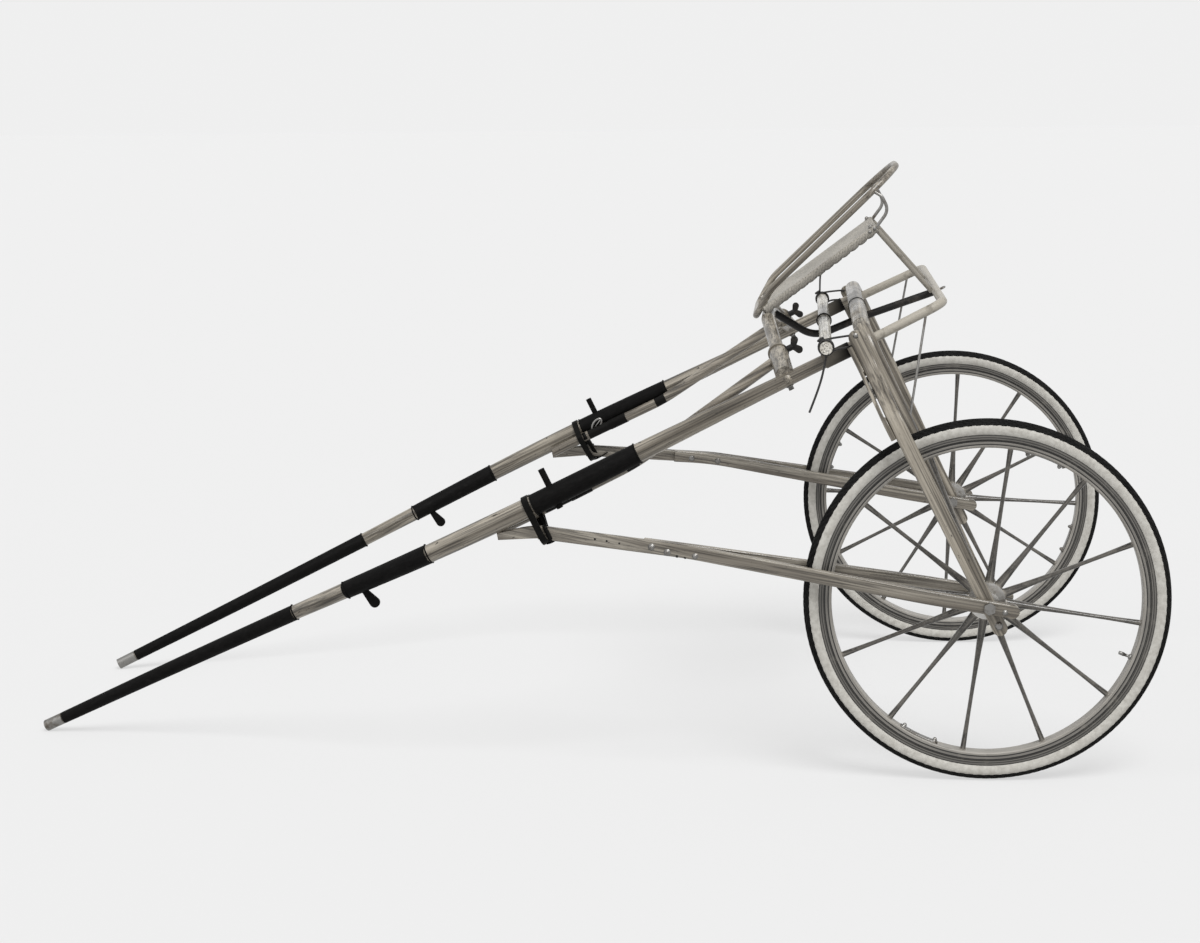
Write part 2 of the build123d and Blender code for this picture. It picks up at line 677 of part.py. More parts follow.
def make_hoop():
    """Seat hoop: a closed bent tube, steep at the front, high at the rear."""
    half = SEAT_HALF_WIDTH
    left_knee, right_knee = across(HOOP_BEND, half)
    left_rear, right_rear = across(HOOP_REAR, half)
    left_front, right_front = across(HOOP_FRONT, half)
    left_side = along(left_knee, left_rear, HOOP_JOIN_SHARE)
    right_side = along(right_knee, right_rear, HOOP_JOIN_SHARE)
    back = bent_bar(
        [left_side, left_rear, right_rear, right_side],
        (HOOP_REAR_CORNER, HOOP_REAR_CORNER),
        HOOP_DIA,
    )
    front = bent_bar(
        [left_side, left_knee, left_front, right_front, right_knee, right_side],
        (HOOP_KNEE_BEND, HOOP_FRONT_CORNER, HOOP_FRONT_CORNER, HOOP_KNEE_BEND),
        HOOP_DIA,
    )
    return back + front


def hoop_half(share):
    """Half width of the hoop at a share of its side: it narrows round the rear corners."""
    length = hypot(HOOP_REAR[0] - HOOP_BEND[0], HOOP_REAR[1] - HOOP_BEND[1])
    into = max(0, HOOP_REAR_CORNER - (1 - share) * length)
    return SEAT_HALF_WIDTH - HOOP_REAR_CORNER + (HOOP_REAR_CORNER**2 - into**2) ** 0.5


def make_bracket(hoop, board):
    """Bent wire from the hoop down to the rear end of a seat board."""
    share = (BRACKET_TOP_U - HOOP_BEND[0]) / (HOOP_REAR[0] - HOOP_BEND[0])
    top = along((HOOP_BEND[0], 0, HOOP_BEND[1]), (HOOP_REAR[0], 0, HOOP_REAR[1]), share)
    end = Vector(*(BOARD_REAR[0], 0, BOARD_REAR[1])) - board_direction() * BOARD_DEPTH / 2
    line = [
        (top.X, hoop_half(share), top.Z),
        (top.X - BRACKET_BACK, SEAT_HALF_WIDTH, top.Z - BRACKET_FALL),
        (top.X - BRACKET_BACK, SEAT_HALF_WIDTH, end.Z + BRACKET_LIFT),
        (end.X, SEAT_HALF_WIDTH, end.Z),
    ]
    return bent_bar(line, BRACKET_BENDS, BRACKET_DIA) - hoop - board


def make_rear_rail(arch):
    """Rear rail: a bent tube from arch leg to arch leg, round behind the seat."""
    inner_y = ARCH_HALF_WIDTH - REAR_RAIL_INSET
    points = [
        (arch_u(REAR_RAIL_W), inner_y, REAR_RAIL_W),
        (REAR_RAIL_U, REAR_RAIL_Y, REAR_RAIL_W),
        (REAR_RAIL_U, -REAR_RAIL_Y, REAR_RAIL_W),
        (arch_u(REAR_RAIL_W), -inner_y, REAR_RAIL_W),
    ]
    return bent_bar(points, (REAR_RAIL_CORNER, REAR_RAIL_CORNER), REAR_RAIL_DIA) - arch


def make_strut(board, bracket):
    """Strut from the rear rail up to the rear of a seat board."""
    end = Vector(BOARD_REAR[0], SEAT_HALF_WIDTH, BOARD_REAR[1]) - board_direction() * STRUT_INSET
    foot = (REAR_RAIL_U + STRUT_FOOT_AHEAD, SEAT_HALF_WIDTH, REAR_RAIL_W)
    rail = cross_disc(REAR_RAIL_U, *foot[1:], REAR_RAIL_DIA + 2 * SEAT_CLEARANCE, 3 * STRUT_DIA)
    return rod(foot, end, STRUT_DIA) - rail - board - bracket


def make_brace_rod(rear_rail, arch):
    """Thin rod from the rear rail down to the arch leg."""
    lean = (LEG_Y_INNER - ARCH_HALF_WIDTH) / (ARCH_HEIGHT - LEG_FLAT_TOP)
    leg_y = ARCH_HALF_WIDTH + lean * (ARCH_HEIGHT - ROD_FOOT_W)
    top = (ROD_TOP_U, REAR_RAIL_Y + ROD_TOP_OUT, REAR_RAIL_W)
    foot = (arch_u(ROD_FOOT_W), leg_y, ROD_FOOT_W)
    return rod(top, foot, ROD_DIA) - rear_rail - arch


def centre_bar_rear_w():
    """Height of the centre bar where it passes under the rear rail."""
    return REAR_RAIL_W - REAR_RAIL_DIA / 2 - CENTRE_BAR_DIA / 2 - SEAT_CLEARANCE


def make_centre_bar(bow):
    """Bar along the centre: under the rear rail, the arch and the loose bar, then up to the bow."""
    r = CENTRE_BAR_DIA / 2
    rear_w = centre_bar_rear_w()
    arch_w = ARCH_HEIGHT - ARCH_SIZE / 2 - ARCH_BAND_THICKNESS - r - SEAT_CLEARANCE
    under_w = cross_bar_w() - CROSS_BAR_DIA / 2 - CROSS_BAND_THICKNESS - r - 2 * SEAT_CLEARANCE
    rise = (arch_w - rear_w) / (arch_u(ARCH_HEIGHT) - REAR_RAIL_U)
    back, below = CENTRE_BAR_END
    points = [
        (REAR_RAIL_U - CENTRE_BAR_TAIL, 0, rear_w - CENTRE_BAR_TAIL * rise),
        (arch_u(ARCH_HEIGHT), 0, arch_w),
        (CROSS_BAR_U + CENTRE_BAR_KNEE, 0, under_w),
        (BOW_U - back, 0, BOW_TOP_W - below),
    ]
    return bent_bar(points, CENTRE_BAR_BENDS, CENTRE_BAR_DIA) - bow


def make_eye(centre_bar):
    """Screw eye in the rear end of the centre bar."""
    bar_w = centre_bar_rear_w()
    bar_u = REAR_RAIL_U - CENTRE_BAR_TAIL
    ring_u = bar_u - EYE_SHANK - EYE_RING_DIA / 2
    eye = Pos(ring_u, 0, bar_w) * Torus((EYE_RING_DIA - EYE_WIRE_DIA) / 2, EYE_WIRE_DIA / 2)
    start = (ring_u + EYE_RING_DIA / 2 - EYE_WIRE_DIA, 0, bar_w)
    eye += rod(start, (bar_u + EYE_SHANK, 0, bar_w), EYE_WIRE_DIA)
    return eye - centre_bar


def cross_bar_w():
    """Height of the loose bar, lying on the wrapped shafts."""
    dia = shaft_at(CROSS_BAR_U)[2]
    return SHAFT_HEIGHT + dia / 2 + WRAP_THICKNESS + CROSS_BAR_DIA / 2 + SEAT_CLEARANCE


def make_cross_bar():
    """Loose round bar across both shafts, with a band at its middle."""
    bar = cross_disc(CROSS_BAR_U, 0, cross_bar_w(), CROSS_BAR_DIA, 2 * CROSS_BAR_HALF)
    return bar + cross_disc(CROSS_BAR_U, 0, cross_bar_w(), CROSS_BAR_DIA + 2 * CROSS_BAND_THICKNESS, ARCH_BAND_WIDTH)


def make_lashing(arch, outer_leg, lap, cross_bar):
    """Cord wound round one end of the loose bar, with two strands back to the arch."""
    y = CROSS_BAR_HALF - LASH_INSET
    turns = cross_disc(CROSS_BAR_U, y, cross_bar_w(), CROSS_BAR_DIA + 2 * LASH_DIA, 2 * LASH_DIA)
    reach = CROSS_BAR_DIA / 2 + LASH_DIA / 2
    for side in (-1, 1):
        start = (CROSS_BAR_U, y + side * LASH_DIA / 2, cross_bar_w() + side * reach)
        end_w = cross_bar_w() - LASH_SPREAD + side * LASH_SPREAD / 2
        end = (fork_u(end_w), FORK_Y, end_w)
        turns += rod(start, end, LASH_DIA)
    return turns - cross_bar - lap - outer_leg - arch


def make_tail():
    """Free end of the left lashing, hanging beside the shaft of the parked cart."""
    knot = park(Pos(CROSS_BAR_U, CROSS_BAR_HALF - LASH_INSET, cross_bar_w())).position
    low = knot - Vector(0, 0, CROSS_BAR_DIA / 2 + LASH_DIA)
    points = [low + Vector(forward, outward, -down) for forward, outward, down in TAIL_STEPS]
    radii = bend_radii(points)
    print("tail radii", [round(radius) for radius in radii], "from", points[0], "to", points[-1])
    return bent_bar(points, radii, LASH_DIA)


def bend_radii(points):
    """For each bend of a line, the radius that its two runs leave room for."""
    radii = []
    for before, point, after in zip(points, points[1:], points[2:]):
        turn = radians((point - before).get_angle(after - point))
        shorter = min((point - before).length, (after - point).length)
        radii.append(BEND_SHARE * shorter * cos(turn / 2) / sin(turn / 2))
    return radii


def make_rail_wrap(rail):
    """Leather wrap on a brace rail."""
    rear = rail_point(RAIL_WRAP_REAR_U)
    front = rail_point(RAIL_WRAP_REAR_U + RAIL_WRAP_LENGTH)
    return rod(rear, front, RAIL_DIA + 2 * RAIL_WRAP_THICKNESS) - rail


def make_arch_band():
    """Thin band round the middle of the arch crossbar."""
    size = ARCH_SIZE + 2 * ARCH_BAND_THICKNESS
    bore = ARCH_SIZE + 2 * FACE_CLEARANCE
    plane = Plane(origin=(arch_u(ARCH_HEIGHT), 0, ARCH_HEIGHT), x_dir=arch_normal(), z_dir=(0, 1, 0))
    ring = RectangleRounded(size, size, ARCH_CORNER + ARCH_BAND_THICKNESS)
    ring -= RectangleRounded(bore, bore, ARCH_CORNER + FACE_CLEARANCE)
    return extrude(plane * ring, ARCH_BAND_WIDTH / 2, both=True)


def turned(profile):
    """A solid turned about the axle line, from a profile of radius and width."""
    return revolve(Plane.YZ * profile, axis=Axis.Y)


def make_tyre():
    """Tyre: a plain ring."""
    return Rot(X=90) * Torus(TYRE_CENTRE_R, TYRE_R)


def make_rim():
    """Wooden rim with a hollow seat for the tyre and a groove along each flank."""
    outer_r = TYRE_CENTRE_R - TYRE_R / 4
    mid_r = (RIM_INNER_R + outer_r) / 2
    profile = Pos(0, (RIM_INNER_R + outer_r) / 2) * RectangleRounded(RIM_WIDTH, outer_r - RIM_INNER_R, RIM_CORNER)
    profile -= Pos(0, TYRE_CENTRE_R) * Circle(TYRE_R)
    for side in (-1, 1):
        profile -= Pos(side * RIM_WIDTH / 2, mid_r) * Rectangle(RIM_GROOVE * 2, RIM_GROOVE)
    return turned(profile)


def make_hub():
    """Hub: barrel, ring for the spoke roots and a cap at each end, bored for the axle."""
    bore = AXLE_DIA / 2 + AXLE_CLEARANCE
    rows = (
        (HUB_BARREL_DIA / 2, HUB_LENGTH - 2 * HUB_CAP_LENGTH, 0),
        (HUB_RING_DIA / 2, HUB_RING_WIDTH, 0),
        (HUB_CAP_DIA / 2, HUB_CAP_LENGTH, (HUB_LENGTH - HUB_CAP_LENGTH) / 2),
        (HUB_CAP_DIA / 2, HUB_CAP_LENGTH, (HUB_CAP_LENGTH - HUB_LENGTH) / 2),
    )
    hub = None
    for radius, width, offset in rows:
        disc = cross_disc(0, offset, 0, 2 * radius, width)
        hub = disc if hub is None else hub + disc
    return hub - cross_disc(0, 0, 0, 2 * bore, 2 * HUB_LENGTH)


def make_spokes(rim, hub):
    """Turned oval spokes, thick at the root, seated on the hub ring and in the rim."""
    root_r = HUB_RING_DIA / 2 - SPOKE_SEAT
    foot_r = RIM_INNER_R + SPOKE_SEAT
    stations = ((root_r, SPOKE_ROOT), (SPOKE_NECK_RADIUS, SPOKE_NECK), (foot_r, SPOKE_FOOT))
    spoke = loft([Pos(Z=radius) * Ellipse(*half) for radius, half in stations])
    spoke = spoke - rim - hub
    step = 360 / SPOKE_COUNT
    return Compound(children=[Rot(Y=step * i) * Solid(spoke.solids()[0].wrapped) for i in range(SPOKE_COUNT)])


def tip_pitch():
    """Angle that brings the lower edge of the ferrules down to the floor."""
    tip = shaft_tip()
    low = tip.Z - FERRULE_R
    return degrees(atan2(low, tip.X) + asin(WHEEL_R / hypot(tip.X, low)))


PITCH = tip_pitch()


def axle_x():
    """Place of the axle that centres the parked cart on the origin."""
    tip = shaft_tip()
    _, direction, _ = shaft_at(TIP_U - FERRULE_LENGTH)
    reach = FERRULE_R * hypot(direction.Y * cos(radians(PITCH)), sin(radians(PITCH)))
    front = tip.X * cos(radians(PITCH)) + tip.Z * sin(radians(PITCH)) + reach
    return (WHEEL_R - front) / 2


AXLE = Pos(axle_x(), 0, WHEEL_R)


def park(piece):
    """Pitch a piece of the frame about the axle and lift it onto the wheels."""
    return AXLE * Rot(Y=PITCH) * piece


def frame_pieces():
    """Every fixed piece in the driving attitude: pairs are drawn on the left and mirrored."""
    arch = make_arch()
    shaft = make_shaft(arch)
    bare = shaft_span(WRAPS["arch_end"][1], WRAPS["rear"][0], 0)
    waist = shaft_span(WRAPS["rear"][1], WRAPS["middle"][0], 0)
    outer_leg = make_outer_leg(arch)
    lap = make_lap(arch, outer_leg)
    stay = make_stay(waist)
    inner_stay = make_inner_stay(stay)
    bow = make_bow()
    sleeve = make_sleeve(bare, bow)
    rail = make_rail()
    hoop = make_hoop()
    board = make_board(bow, hoop)
    bracket = make_bracket(hoop, board)
    rear_rail = make_rear_rail(arch)
    centre_bar = make_centre_bar(bow)
    cross_bar = make_cross_bar()
    axle = make_axle()
    bore = cross_disc(0, WHEEL_Y, 0, AXLE_DIA, TRACK)
    pairs = {
        "shaft": shaft,
        "shaft_tip": make_ferrule(),
        "shaft_wraps": make_wraps(),
        "shaft_strap": make_strap(),
        "brace_rail": rail,
        "brace_rail_wrap": make_rail_wrap(rail),
        "outer_leg": outer_leg - bore,
        "leg_lap": lap,
        "stay": stay - bore,
        "inner_stay": inner_stay - bore,
        "axle": axle,
        "bow_sleeve": sleeve,
        "bow_clamp": make_clamp(sleeve, bow),
        "seat_board": board,
        "seat_bracket": bracket,
        "seat_strut": make_strut(board, bracket),
        "brace_rod": make_brace_rod(rear_rail, arch),
        "lashing": make_lashing(arch, outer_leg, lap, cross_bar),
    }
    pieces = {
        "arch": arch - bore - mirror(bore, about=Plane.XZ),
        "arch_band": make_arch_band(),
        "front_bow": bow,
        "seat_sling": make_sling(bow),
        "seat_hoop": hoop,
        "rear_rail": rear_rail,
        "centre_bar": centre_bar,
        "screw_eye": make_eye(centre_bar),
        "cross_bar": cross_bar,
    }
    for name, piece in pairs.items():
        pieces["left_" + name] = piece
        pieces["right_" + name] = mirror(piece, about=Plane.XZ)
    return pieces


def wheel_pieces():
    """Both wheels, standing upright on the axle."""
    rim, hub = make_rim(), make_hub()
    parts = {"tyre": make_tyre(), "rim": rim, "hub": hub, "spokes": make_spokes(rim, hub)}
    pieces = {}
    for side, sign in (("left", 1), ("right", -1)):
        for name, piece in parts.items():
            turn = Rot(Y=SPOKE_PHASE[side])
            pieces[side + "_" + name] = AXLE * Pos(0, sign * WHEEL_Y, 0) * turn * piece
    return pieces


def main():
    os.makedirs("parts", exist_ok=True)
    pieces = {name: park(piece) for name, piece in frame_pieces().items()}
    pieces.update(wheel_pieces())
    pieces["left_lash_tail"] = make_tail()
    for name, piece in pieces.items():
        export_step(piece, "parts/" + name + ".step")
    print("pieces", len(pieces), "pitch", round(PITCH, 2), "axle x", round(axle_x(), 1))


main()
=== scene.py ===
# %% [markdown]
# # A racing sulky, dressed over its measured frame
# The cart arrives as a set of exact solids: shafts, arch, legs, stays, seat and wheels, each riding on
# its own body. Nothing here moves them. This lesson gives every one of them a finish, then adds what is
# too soft or too small for solid modelling: canvas, cord, tread, bolts, straps and wear.

# %% Load the frame
import bpy
import bmesh
import json
from math import atan2, cos, pi, radians, sin
from mathutils import Matrix, Vector
from mathutils.bvhtree import BVHTree


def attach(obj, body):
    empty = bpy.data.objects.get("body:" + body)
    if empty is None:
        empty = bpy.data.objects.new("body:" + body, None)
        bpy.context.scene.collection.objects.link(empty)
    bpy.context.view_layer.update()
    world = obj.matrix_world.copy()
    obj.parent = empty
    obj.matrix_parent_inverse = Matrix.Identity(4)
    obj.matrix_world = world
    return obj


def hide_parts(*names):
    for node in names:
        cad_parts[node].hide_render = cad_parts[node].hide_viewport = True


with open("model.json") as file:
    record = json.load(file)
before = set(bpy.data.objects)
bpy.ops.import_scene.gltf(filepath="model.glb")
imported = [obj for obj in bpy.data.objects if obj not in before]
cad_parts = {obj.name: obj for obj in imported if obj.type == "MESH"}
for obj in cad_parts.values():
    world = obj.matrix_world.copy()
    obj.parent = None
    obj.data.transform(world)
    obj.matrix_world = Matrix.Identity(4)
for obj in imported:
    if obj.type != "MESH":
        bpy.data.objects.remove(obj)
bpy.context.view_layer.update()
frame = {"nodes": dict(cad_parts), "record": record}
nodes = frame["nodes"]

# %% [markdown]
# ## Two attitudes
# The cart is parked: its wheels and its shaft tips stand on the floor, so the shafts slope. It is easier
# to think of it as it is driven, with the shafts level: u forward from the axle, y to the left, w up.
# The slope is read from the direction of a shaft tip, and the axle from the wheel's joint, so the two
# attitudes always agree with the solids.

# %% Parked and driving attitudes
tip_axis = frame["record"]["mounts"][0]["axis"]
pitch = atan2(-tip_axis[2], tip_axis[0])
wheel_pin = Vector(frame["record"]["behaviour"]["joints"][0]["pos_m"])
AXLE = Vector((wheel_pin.x, 0, wheel_pin.z))
WHEEL_Y = abs(wheel_pin.y)
WHEEL_R = wheel_pin.z
PARK = Matrix.Translation(AXLE) @ Matrix.Rotation(pitch, 4, "Y")


def parked(u, y, w):
    """A point given in driving millimetres, in the parked frame in metres."""
    return PARK @ (Vector((u, y, w)) / 1000)


print("pitch", round(pitch * 180 / pi, 2), "axle", [round(v, 4) for v in AXLE])

# %% [markdown]
# ## Camera
# The portrait was taken from the cart's left, a little above the seat, from about five metres. The lens
# is long, so the near wheel is only a quarter larger than the far one. A small shift stands in for the
# raised front of a studio camera, which keeps uprights upright.

# %% Camera
def add_object(name, data):
    """A new object in the scene."""
    thing = bpy.data.objects.new(name, data)
    bpy.context.collection.objects.link(thing)
    return thing


CAMERA_PLACE = (-0.4584, 5.1954, 1.3646)
CAMERA_LOOK = (0.0555, -0.9921, -0.1123)
CAMERA_UP = (-0.0033, -0.1127, 0.9936)
CAMERA_SHIFT = (-0.06, -0.10)
LENS_PIXELS = 2409
FRAME_PIXELS = 1200
camera_data = bpy.data.cameras.new("portrait_camera")
camera = add_object("portrait_camera", camera_data)
look = Vector(CAMERA_LOOK).normalized()
side = look.cross(Vector(CAMERA_UP)).normalized()
turn = Matrix((side, side.cross(look), -look)).transposed().to_4x4()
camera.matrix_world = Matrix.Translation(CAMERA_PLACE) @ turn
camera_data.lens = LENS_PIXELS / FRAME_PIXELS * camera_data.sensor_width
camera_data.shift_x, camera_data.shift_y = CAMERA_SHIFT
bpy.context.scene.camera = camera
bpy.context.scene.view_settings.view_transform = "Standard"
print("lens", round(camera_data.lens, 1), "mm")

# %% [markdown]
# ## Studio
# A pale sheet of floor under an even sky of light, with a broad distant lamp high on the camera's side
# and a weaker one ahead of the cart. Distant lamps light the whole floor alike, so it has no bright
# spot. Soft light shows the round of a tube without hard shadows. To the camera, the floor is mostly
# its own pale tone with the cart's shadow laid over it, and the sky's tone matches what comes of that,
# so the horizon disappears.

# %% Floor, sky and lamps
SKY_TONE = 0.866
FLOOR_TONE = 0.955
FLOOR_SHARE = 0.62
BOUNCED_PART = 0.5
SKY_LIGHT = 0.12


def new_finish(name, **constants):
    """A material and its node tree; constants are set on the shader's own sockets."""
    material = bpy.data.materials.new(name)
    material.use_nodes = True
    shader = material.node_tree.nodes["Principled BSDF"]
    for socket, value in constants.items():
        shader.inputs[socket.replace("_", " ")].default_value = value
    return material, material.node_tree


def add_node(tree, kind, inputs, **settings):
    """A node with its settings; each input is a socket to link or a value. Gives the node's outputs."""
    node = tree.nodes.new("ShaderNode" + kind)
    for key, value in settings.items():
        setattr(node, key, value)
    for key, value in inputs.items():
        if isinstance(value, bpy.types.NodeSocket):
            tree.links.new(value, node.inputs[key])
        else:
            node.inputs[key].default_value = value
    return node.outputs


def measure(tree, operation, first, second=0.5):
    """One step of arithmetic; the second value is a socket or a number, if it has one."""
    return add_node(tree, "Math", {0: first, 1: second}, operation=operation)[0]


def pale_backdrop(tree, lit, output, share, tone):
    """Lays a plain pale tone over the lit surface: share of it for the camera and for reflections, and
    a smaller part for light that bounces."""
    ray = add_node(tree, "LightPath", {})
    seen = BOUNCED_PART
    for kind in ("Is Camera Ray", "Is Glossy Ray", "Is Transmission Ray"):
        seen = measure(tree, "MAXIMUM", ray[kind], seen)
    kind = "Emission" if lit.type == "BSDF_PRINCIPLED" else "Background"
    plain = add_node(tree, kind, {"Color": (tone, tone, tone, 1)})[0]
    weight = measure(tree, "MULTIPLY", seen, share)
    mixed = add_node(tree, "MixShader", {"Fac": weight, 1: lit.outputs[0], 2: plain})[0]
    tree.links.new(mixed, output.inputs["Surface"])


floor_mesh = bpy.data.meshes.new("studio_floor")
reach = 60.0
corners = [(-reach, -reach, 0), (reach, -reach, 0), (reach, reach, 0), (-reach, reach, 0)]
floor_mesh.from_pydata(corners, [], [(0, 1, 2, 3)])
floor = add_object("studio_floor", floor_mesh)
floor.location.z = -0.0005
paper, sheet = new_finish("studio_paper", Base_Color=(0.55, 0.55, 0.55, 1), Roughness=0.95)
lit_sheet, sheet_end = sheet.nodes["Principled BSDF"], sheet.nodes["Material Output"]
pale_backdrop(sheet, lit_sheet, sheet_end, FLOOR_SHARE, FLOOR_TONE)
floor_mesh.materials.append(paper)

world = bpy.data.worlds.new("studio_sky")
bpy.context.scene.world = world
world.use_nodes = True
sky_light = world.node_tree.nodes["Background"]
sky_light.inputs["Color"].default_value = (1, 1, 1, 1)
sky_light.inputs["Strength"].default_value = SKY_LIGHT
pale_backdrop(world.node_tree, sky_light, world.node_tree.nodes["World Output"], 1.0, SKY_TONE)

LAMPS = (
    ("key_lamp", (-1.2, 2.6, 4.6), 2.6, 30),
    ("front_lamp", (4.0, 2.6, 2.4), 0.6, 60),
)
for name, place, strength, width in LAMPS:
    data = bpy.data.lights.new(name, "SUN")
    data.energy = strength
    data.angle = radians(width)
    lamp = add_object(name, data)
    lamp.rotation_euler = (-Vector(place)).to_track_quat("-Z", "Y").to_euler()
print("lamps", len(LAMPS), "sky", SKY_LIGHT)

# %% [markdown]
# ## A small kit for finishes
# Every finish is a shader whose colour, roughness and relief come from noise laid over the piece. Noise
# is measured in the cart's own metres, so grain has its real size.

# %% Finish kit
ALONG_SHAFT = (0, -pitch, 0)
ACROSS = (0, 0, -pi / 2)
UP_LEG = (0, pi / 2 - pitch, 0)


def turned_space(tree, turn):
    """The piece's own coordinates, turned so that x follows the grain."""
    place = add_node(tree, "TexCoord", {})["Object"]
    inputs = {"Vector": place, "Rotation": turn}
    return add_node(tree, "VectorRotate", inputs, rotation_type="EULER_XYZ")[0]


def stretched(tree, space, stretch):
    """A space with each axis multiplied."""
    return add_node(tree, "VectorMath", {0: space, 1: stretch}, operation="MULTIPLY")[0]


def axes_of(tree, vector):
    """The x, y and z of a vector."""
    return add_node(tree, "SeparateXYZ", {0: vector})


def grain_space(tree, turn=(0, 0, 0), stretch=(1, 1, 1), crossbar=0.0, bowed=1.0):
    """Turned coordinates, stretched. Nearer the middle than crossbar, grain runs across the cart.
    A small bowed lets the grain follow a piece that bends sideways."""
    space = stretched(tree, turned_space(tree, turn), (1, bowed, 1))
    if crossbar:
        from_middle = measure(tree, "ABSOLUTE", axes_of(tree, space)["Y"])
        inside = measure(tree, "LESS_THAN", from_middle, crossbar * bowed)
        across = turned_space(tree, ACROSS)
        space = add_node(tree, "Mix", {0: inside, 4: space, 5: across}, data_type="VECTOR")[1]
    return stretched(tree, space, stretch)


def along_shaft(tree):
    """How far a point lies ahead of the axle, along the driving attitude, in metres."""
    ahead = axes_of(tree, turned_space(tree, ALONG_SHAFT))["X"]
    return measure(tree, "SUBTRACT", ahead, AXLE.x * cos(pitch) - AXLE.z * sin(pitch))


def noise(tree, space, scale=1.0, detail=4.0, rough=0.55):
    """Cloudy noise over a space."""
    inputs = {"Vector": space, "Scale": scale, "Detail": detail, "Roughness": rough}
    return add_node(tree, "TexNoise", inputs)["Fac"]


def waves(tree, space, direction, distortion, profile="SIN", detail_scale=1.0):
    """Even bands over a space."""
    inputs = {"Vector": space, "Scale": 1.0, "Distortion": distortion, "Detail Scale": detail_scale}
    return add_node(tree, "TexWave", inputs, bands_direction=direction, wave_profile=profile)["Color"]


def ramp(tree, factor, stops):
    """A colour ramp from (position, grey or colour) stops."""
    node = tree.nodes.new("ShaderNodeValToRGB")
    while len(node.color_ramp.elements) < len(stops):
        node.color_ramp.elements.new(0.5)
    for element, (position, colour) in zip(node.color_ramp.elements, stops):
        element.position = position
        rgb = colour if hasattr(colour, "__len__") else (colour, colour, colour)
        element.color = (*rgb, 1)
    tree.links.new(factor, node.inputs["Fac"])
    return node.outputs["Color"]


def blend_colours(tree, factor, under, over, mode="MIX"):
    """One colour over another, by a factor that is a socket or a number."""
    inputs = {0: factor, 6: under, 7: over}
    for key, value in inputs.items():
        if isinstance(value, tuple):
            inputs[key] = (*value, 1)
    return add_node(tree, "Mix", inputs, data_type="RGBA", blend_type=mode)[2]


def dress(material, colour, height, strength, depth, rough=None):
    """Colour, relief and roughness onto a material's shader; depth is in metres."""
    tree = material.node_tree
    shader = tree.nodes["Principled BSDF"]
    bump = add_node(tree, "Bump", {"Strength": strength, "Distance": depth, "Height": height})[0]
    tree.links.new(bump, shader.inputs["Normal"])
    tree.links.new(colour, shader.inputs["Base Color"])
    if rough is not None:
        tree.links.new(rough, shader.inputs["Roughness"])
    return material


print("finish kit ready")

# %% [markdown]
# ## Varnished ash
# The frame is straight-grained ash under old varnish: pale, with fine dark pores drawn out along the
# grain, greyer patches where the varnish has gone, and small dark knocks. Grain follows each piece, so
# the same recipe is mixed once for each direction: along the sloping shafts, across the cart, up the
# legs and down the stays.

# %% Wood recipe
WOOD_STRETCHES = ((4, 300, 300), (1.1, 75, 75), (9, 26, 26), (70, 230, 230))
TAPE_BLACK = (0.006, 0.0057, 0.0053)
VARNISH = (0.17, 0.42)


def wood_finish(name, turn, pale, dark, grime, knock_level=0.70, crossbar=0.0, taped=(), bowed=1.0):
    """Wood whose grain follows x after the turn; taped lengths along a shaft are bound in black."""
    material, tree = new_finish(name, IOR=1.5)
    spaces = [grain_space(tree, turn, stretch, crossbar, bowed) for stretch in WOOD_STRETCHES]
    fibre = noise(tree, spaces[0], detail=5, rough=0.62)
    streak = noise(tree, spaces[1], detail=4, rough=0.6)
    patch = noise(tree, spaces[2], detail=7, rough=0.68)
    knock = noise(tree, spaces[3], detail=2)
    middle = tuple(0.45 * a + 0.55 * b for a, b in zip(pale, dark))
    colour = ramp(tree, streak, [(0.36, dark), (0.50, middle), (0.62, pale)])
    pores = ramp(tree, fibre, [(0.38, 0.22), (0.54, 1.0)])
    colour = blend_colours(tree, 0.8, colour, pores, "MULTIPLY")
    worn = ramp(tree, patch, [(0.54, 0.0), (0.74, 0.55)])
    colour = blend_colours(tree, worn, colour, grime)
    dents = ramp(tree, knock, [(knock_level, 0.0), (knock_level + 0.03, 1.0)])
    colour = blend_colours(tree, dents, colour, tuple(c * 0.25 for c in dark))
    bound = None
    for rear, front in taped:
        ahead = along_shaft(tree)
        past_rear = measure(tree, "GREATER_THAN", ahead, rear)
        length = measure(tree, "MULTIPLY", past_rear, measure(tree, "LESS_THAN", ahead, front))
        bound = measure(tree, "ADD", length, bound) if bound else length
    if bound:
        colour = blend_colours(tree, bound, colour, TAPE_BLACK)
        gloss = measure(tree, "ADD", measure(tree, "MULTIPLY", bound, -0.44), 0.5)
        tree.links.new(gloss, tree.nodes["Principled BSDF"].inputs["Specular IOR Level"])
    varnish = ramp(tree, patch, [(0.35, VARNISH[0]), (0.70, VARNISH[1])])
    return dress(material, colour, fibre, 0.35, 0.0006, varnish)


ASH_GRIME = (0.125, 0.11, 0.09)
ASH = ((0.32, 0.288, 0.236), (0.095, 0.081, 0.062), ASH_GRIME)
# The brace rails' ash is darker than the shafts': painted shade for rails that sit under the shafts.
RAIL_ASH_PAINTED_SHADE = ((0.27, 0.24, 0.195), (0.10, 0.085, 0.066), ASH_GRIME)
STAY_ASH = ((0.29, 0.265, 0.222), (0.12, 0.104, 0.083), ASH_GRIME)
HOOP_ASH = ((0.31, 0.28, 0.232), (0.13, 0.112, 0.088), ASH_GRIME)
LIMED = ((0.74, 0.72, 0.66), (0.52, 0.49, 0.43), (0.26, 0.24, 0.20))
RAIL_TAPES = ((0.502, 0.529), (0.612, 0.709))
ash_shaft = wood_finish("ash_along_shaft", ALONG_SHAFT, *ASH, bowed=0.15)
ash_rail = wood_finish("ash_brace_rail", ALONG_SHAFT, *RAIL_ASH_PAINTED_SHADE, taped=RAIL_TAPES, bowed=0.15)
ash_across = wood_finish("ash_across", ACROSS, *ASH)
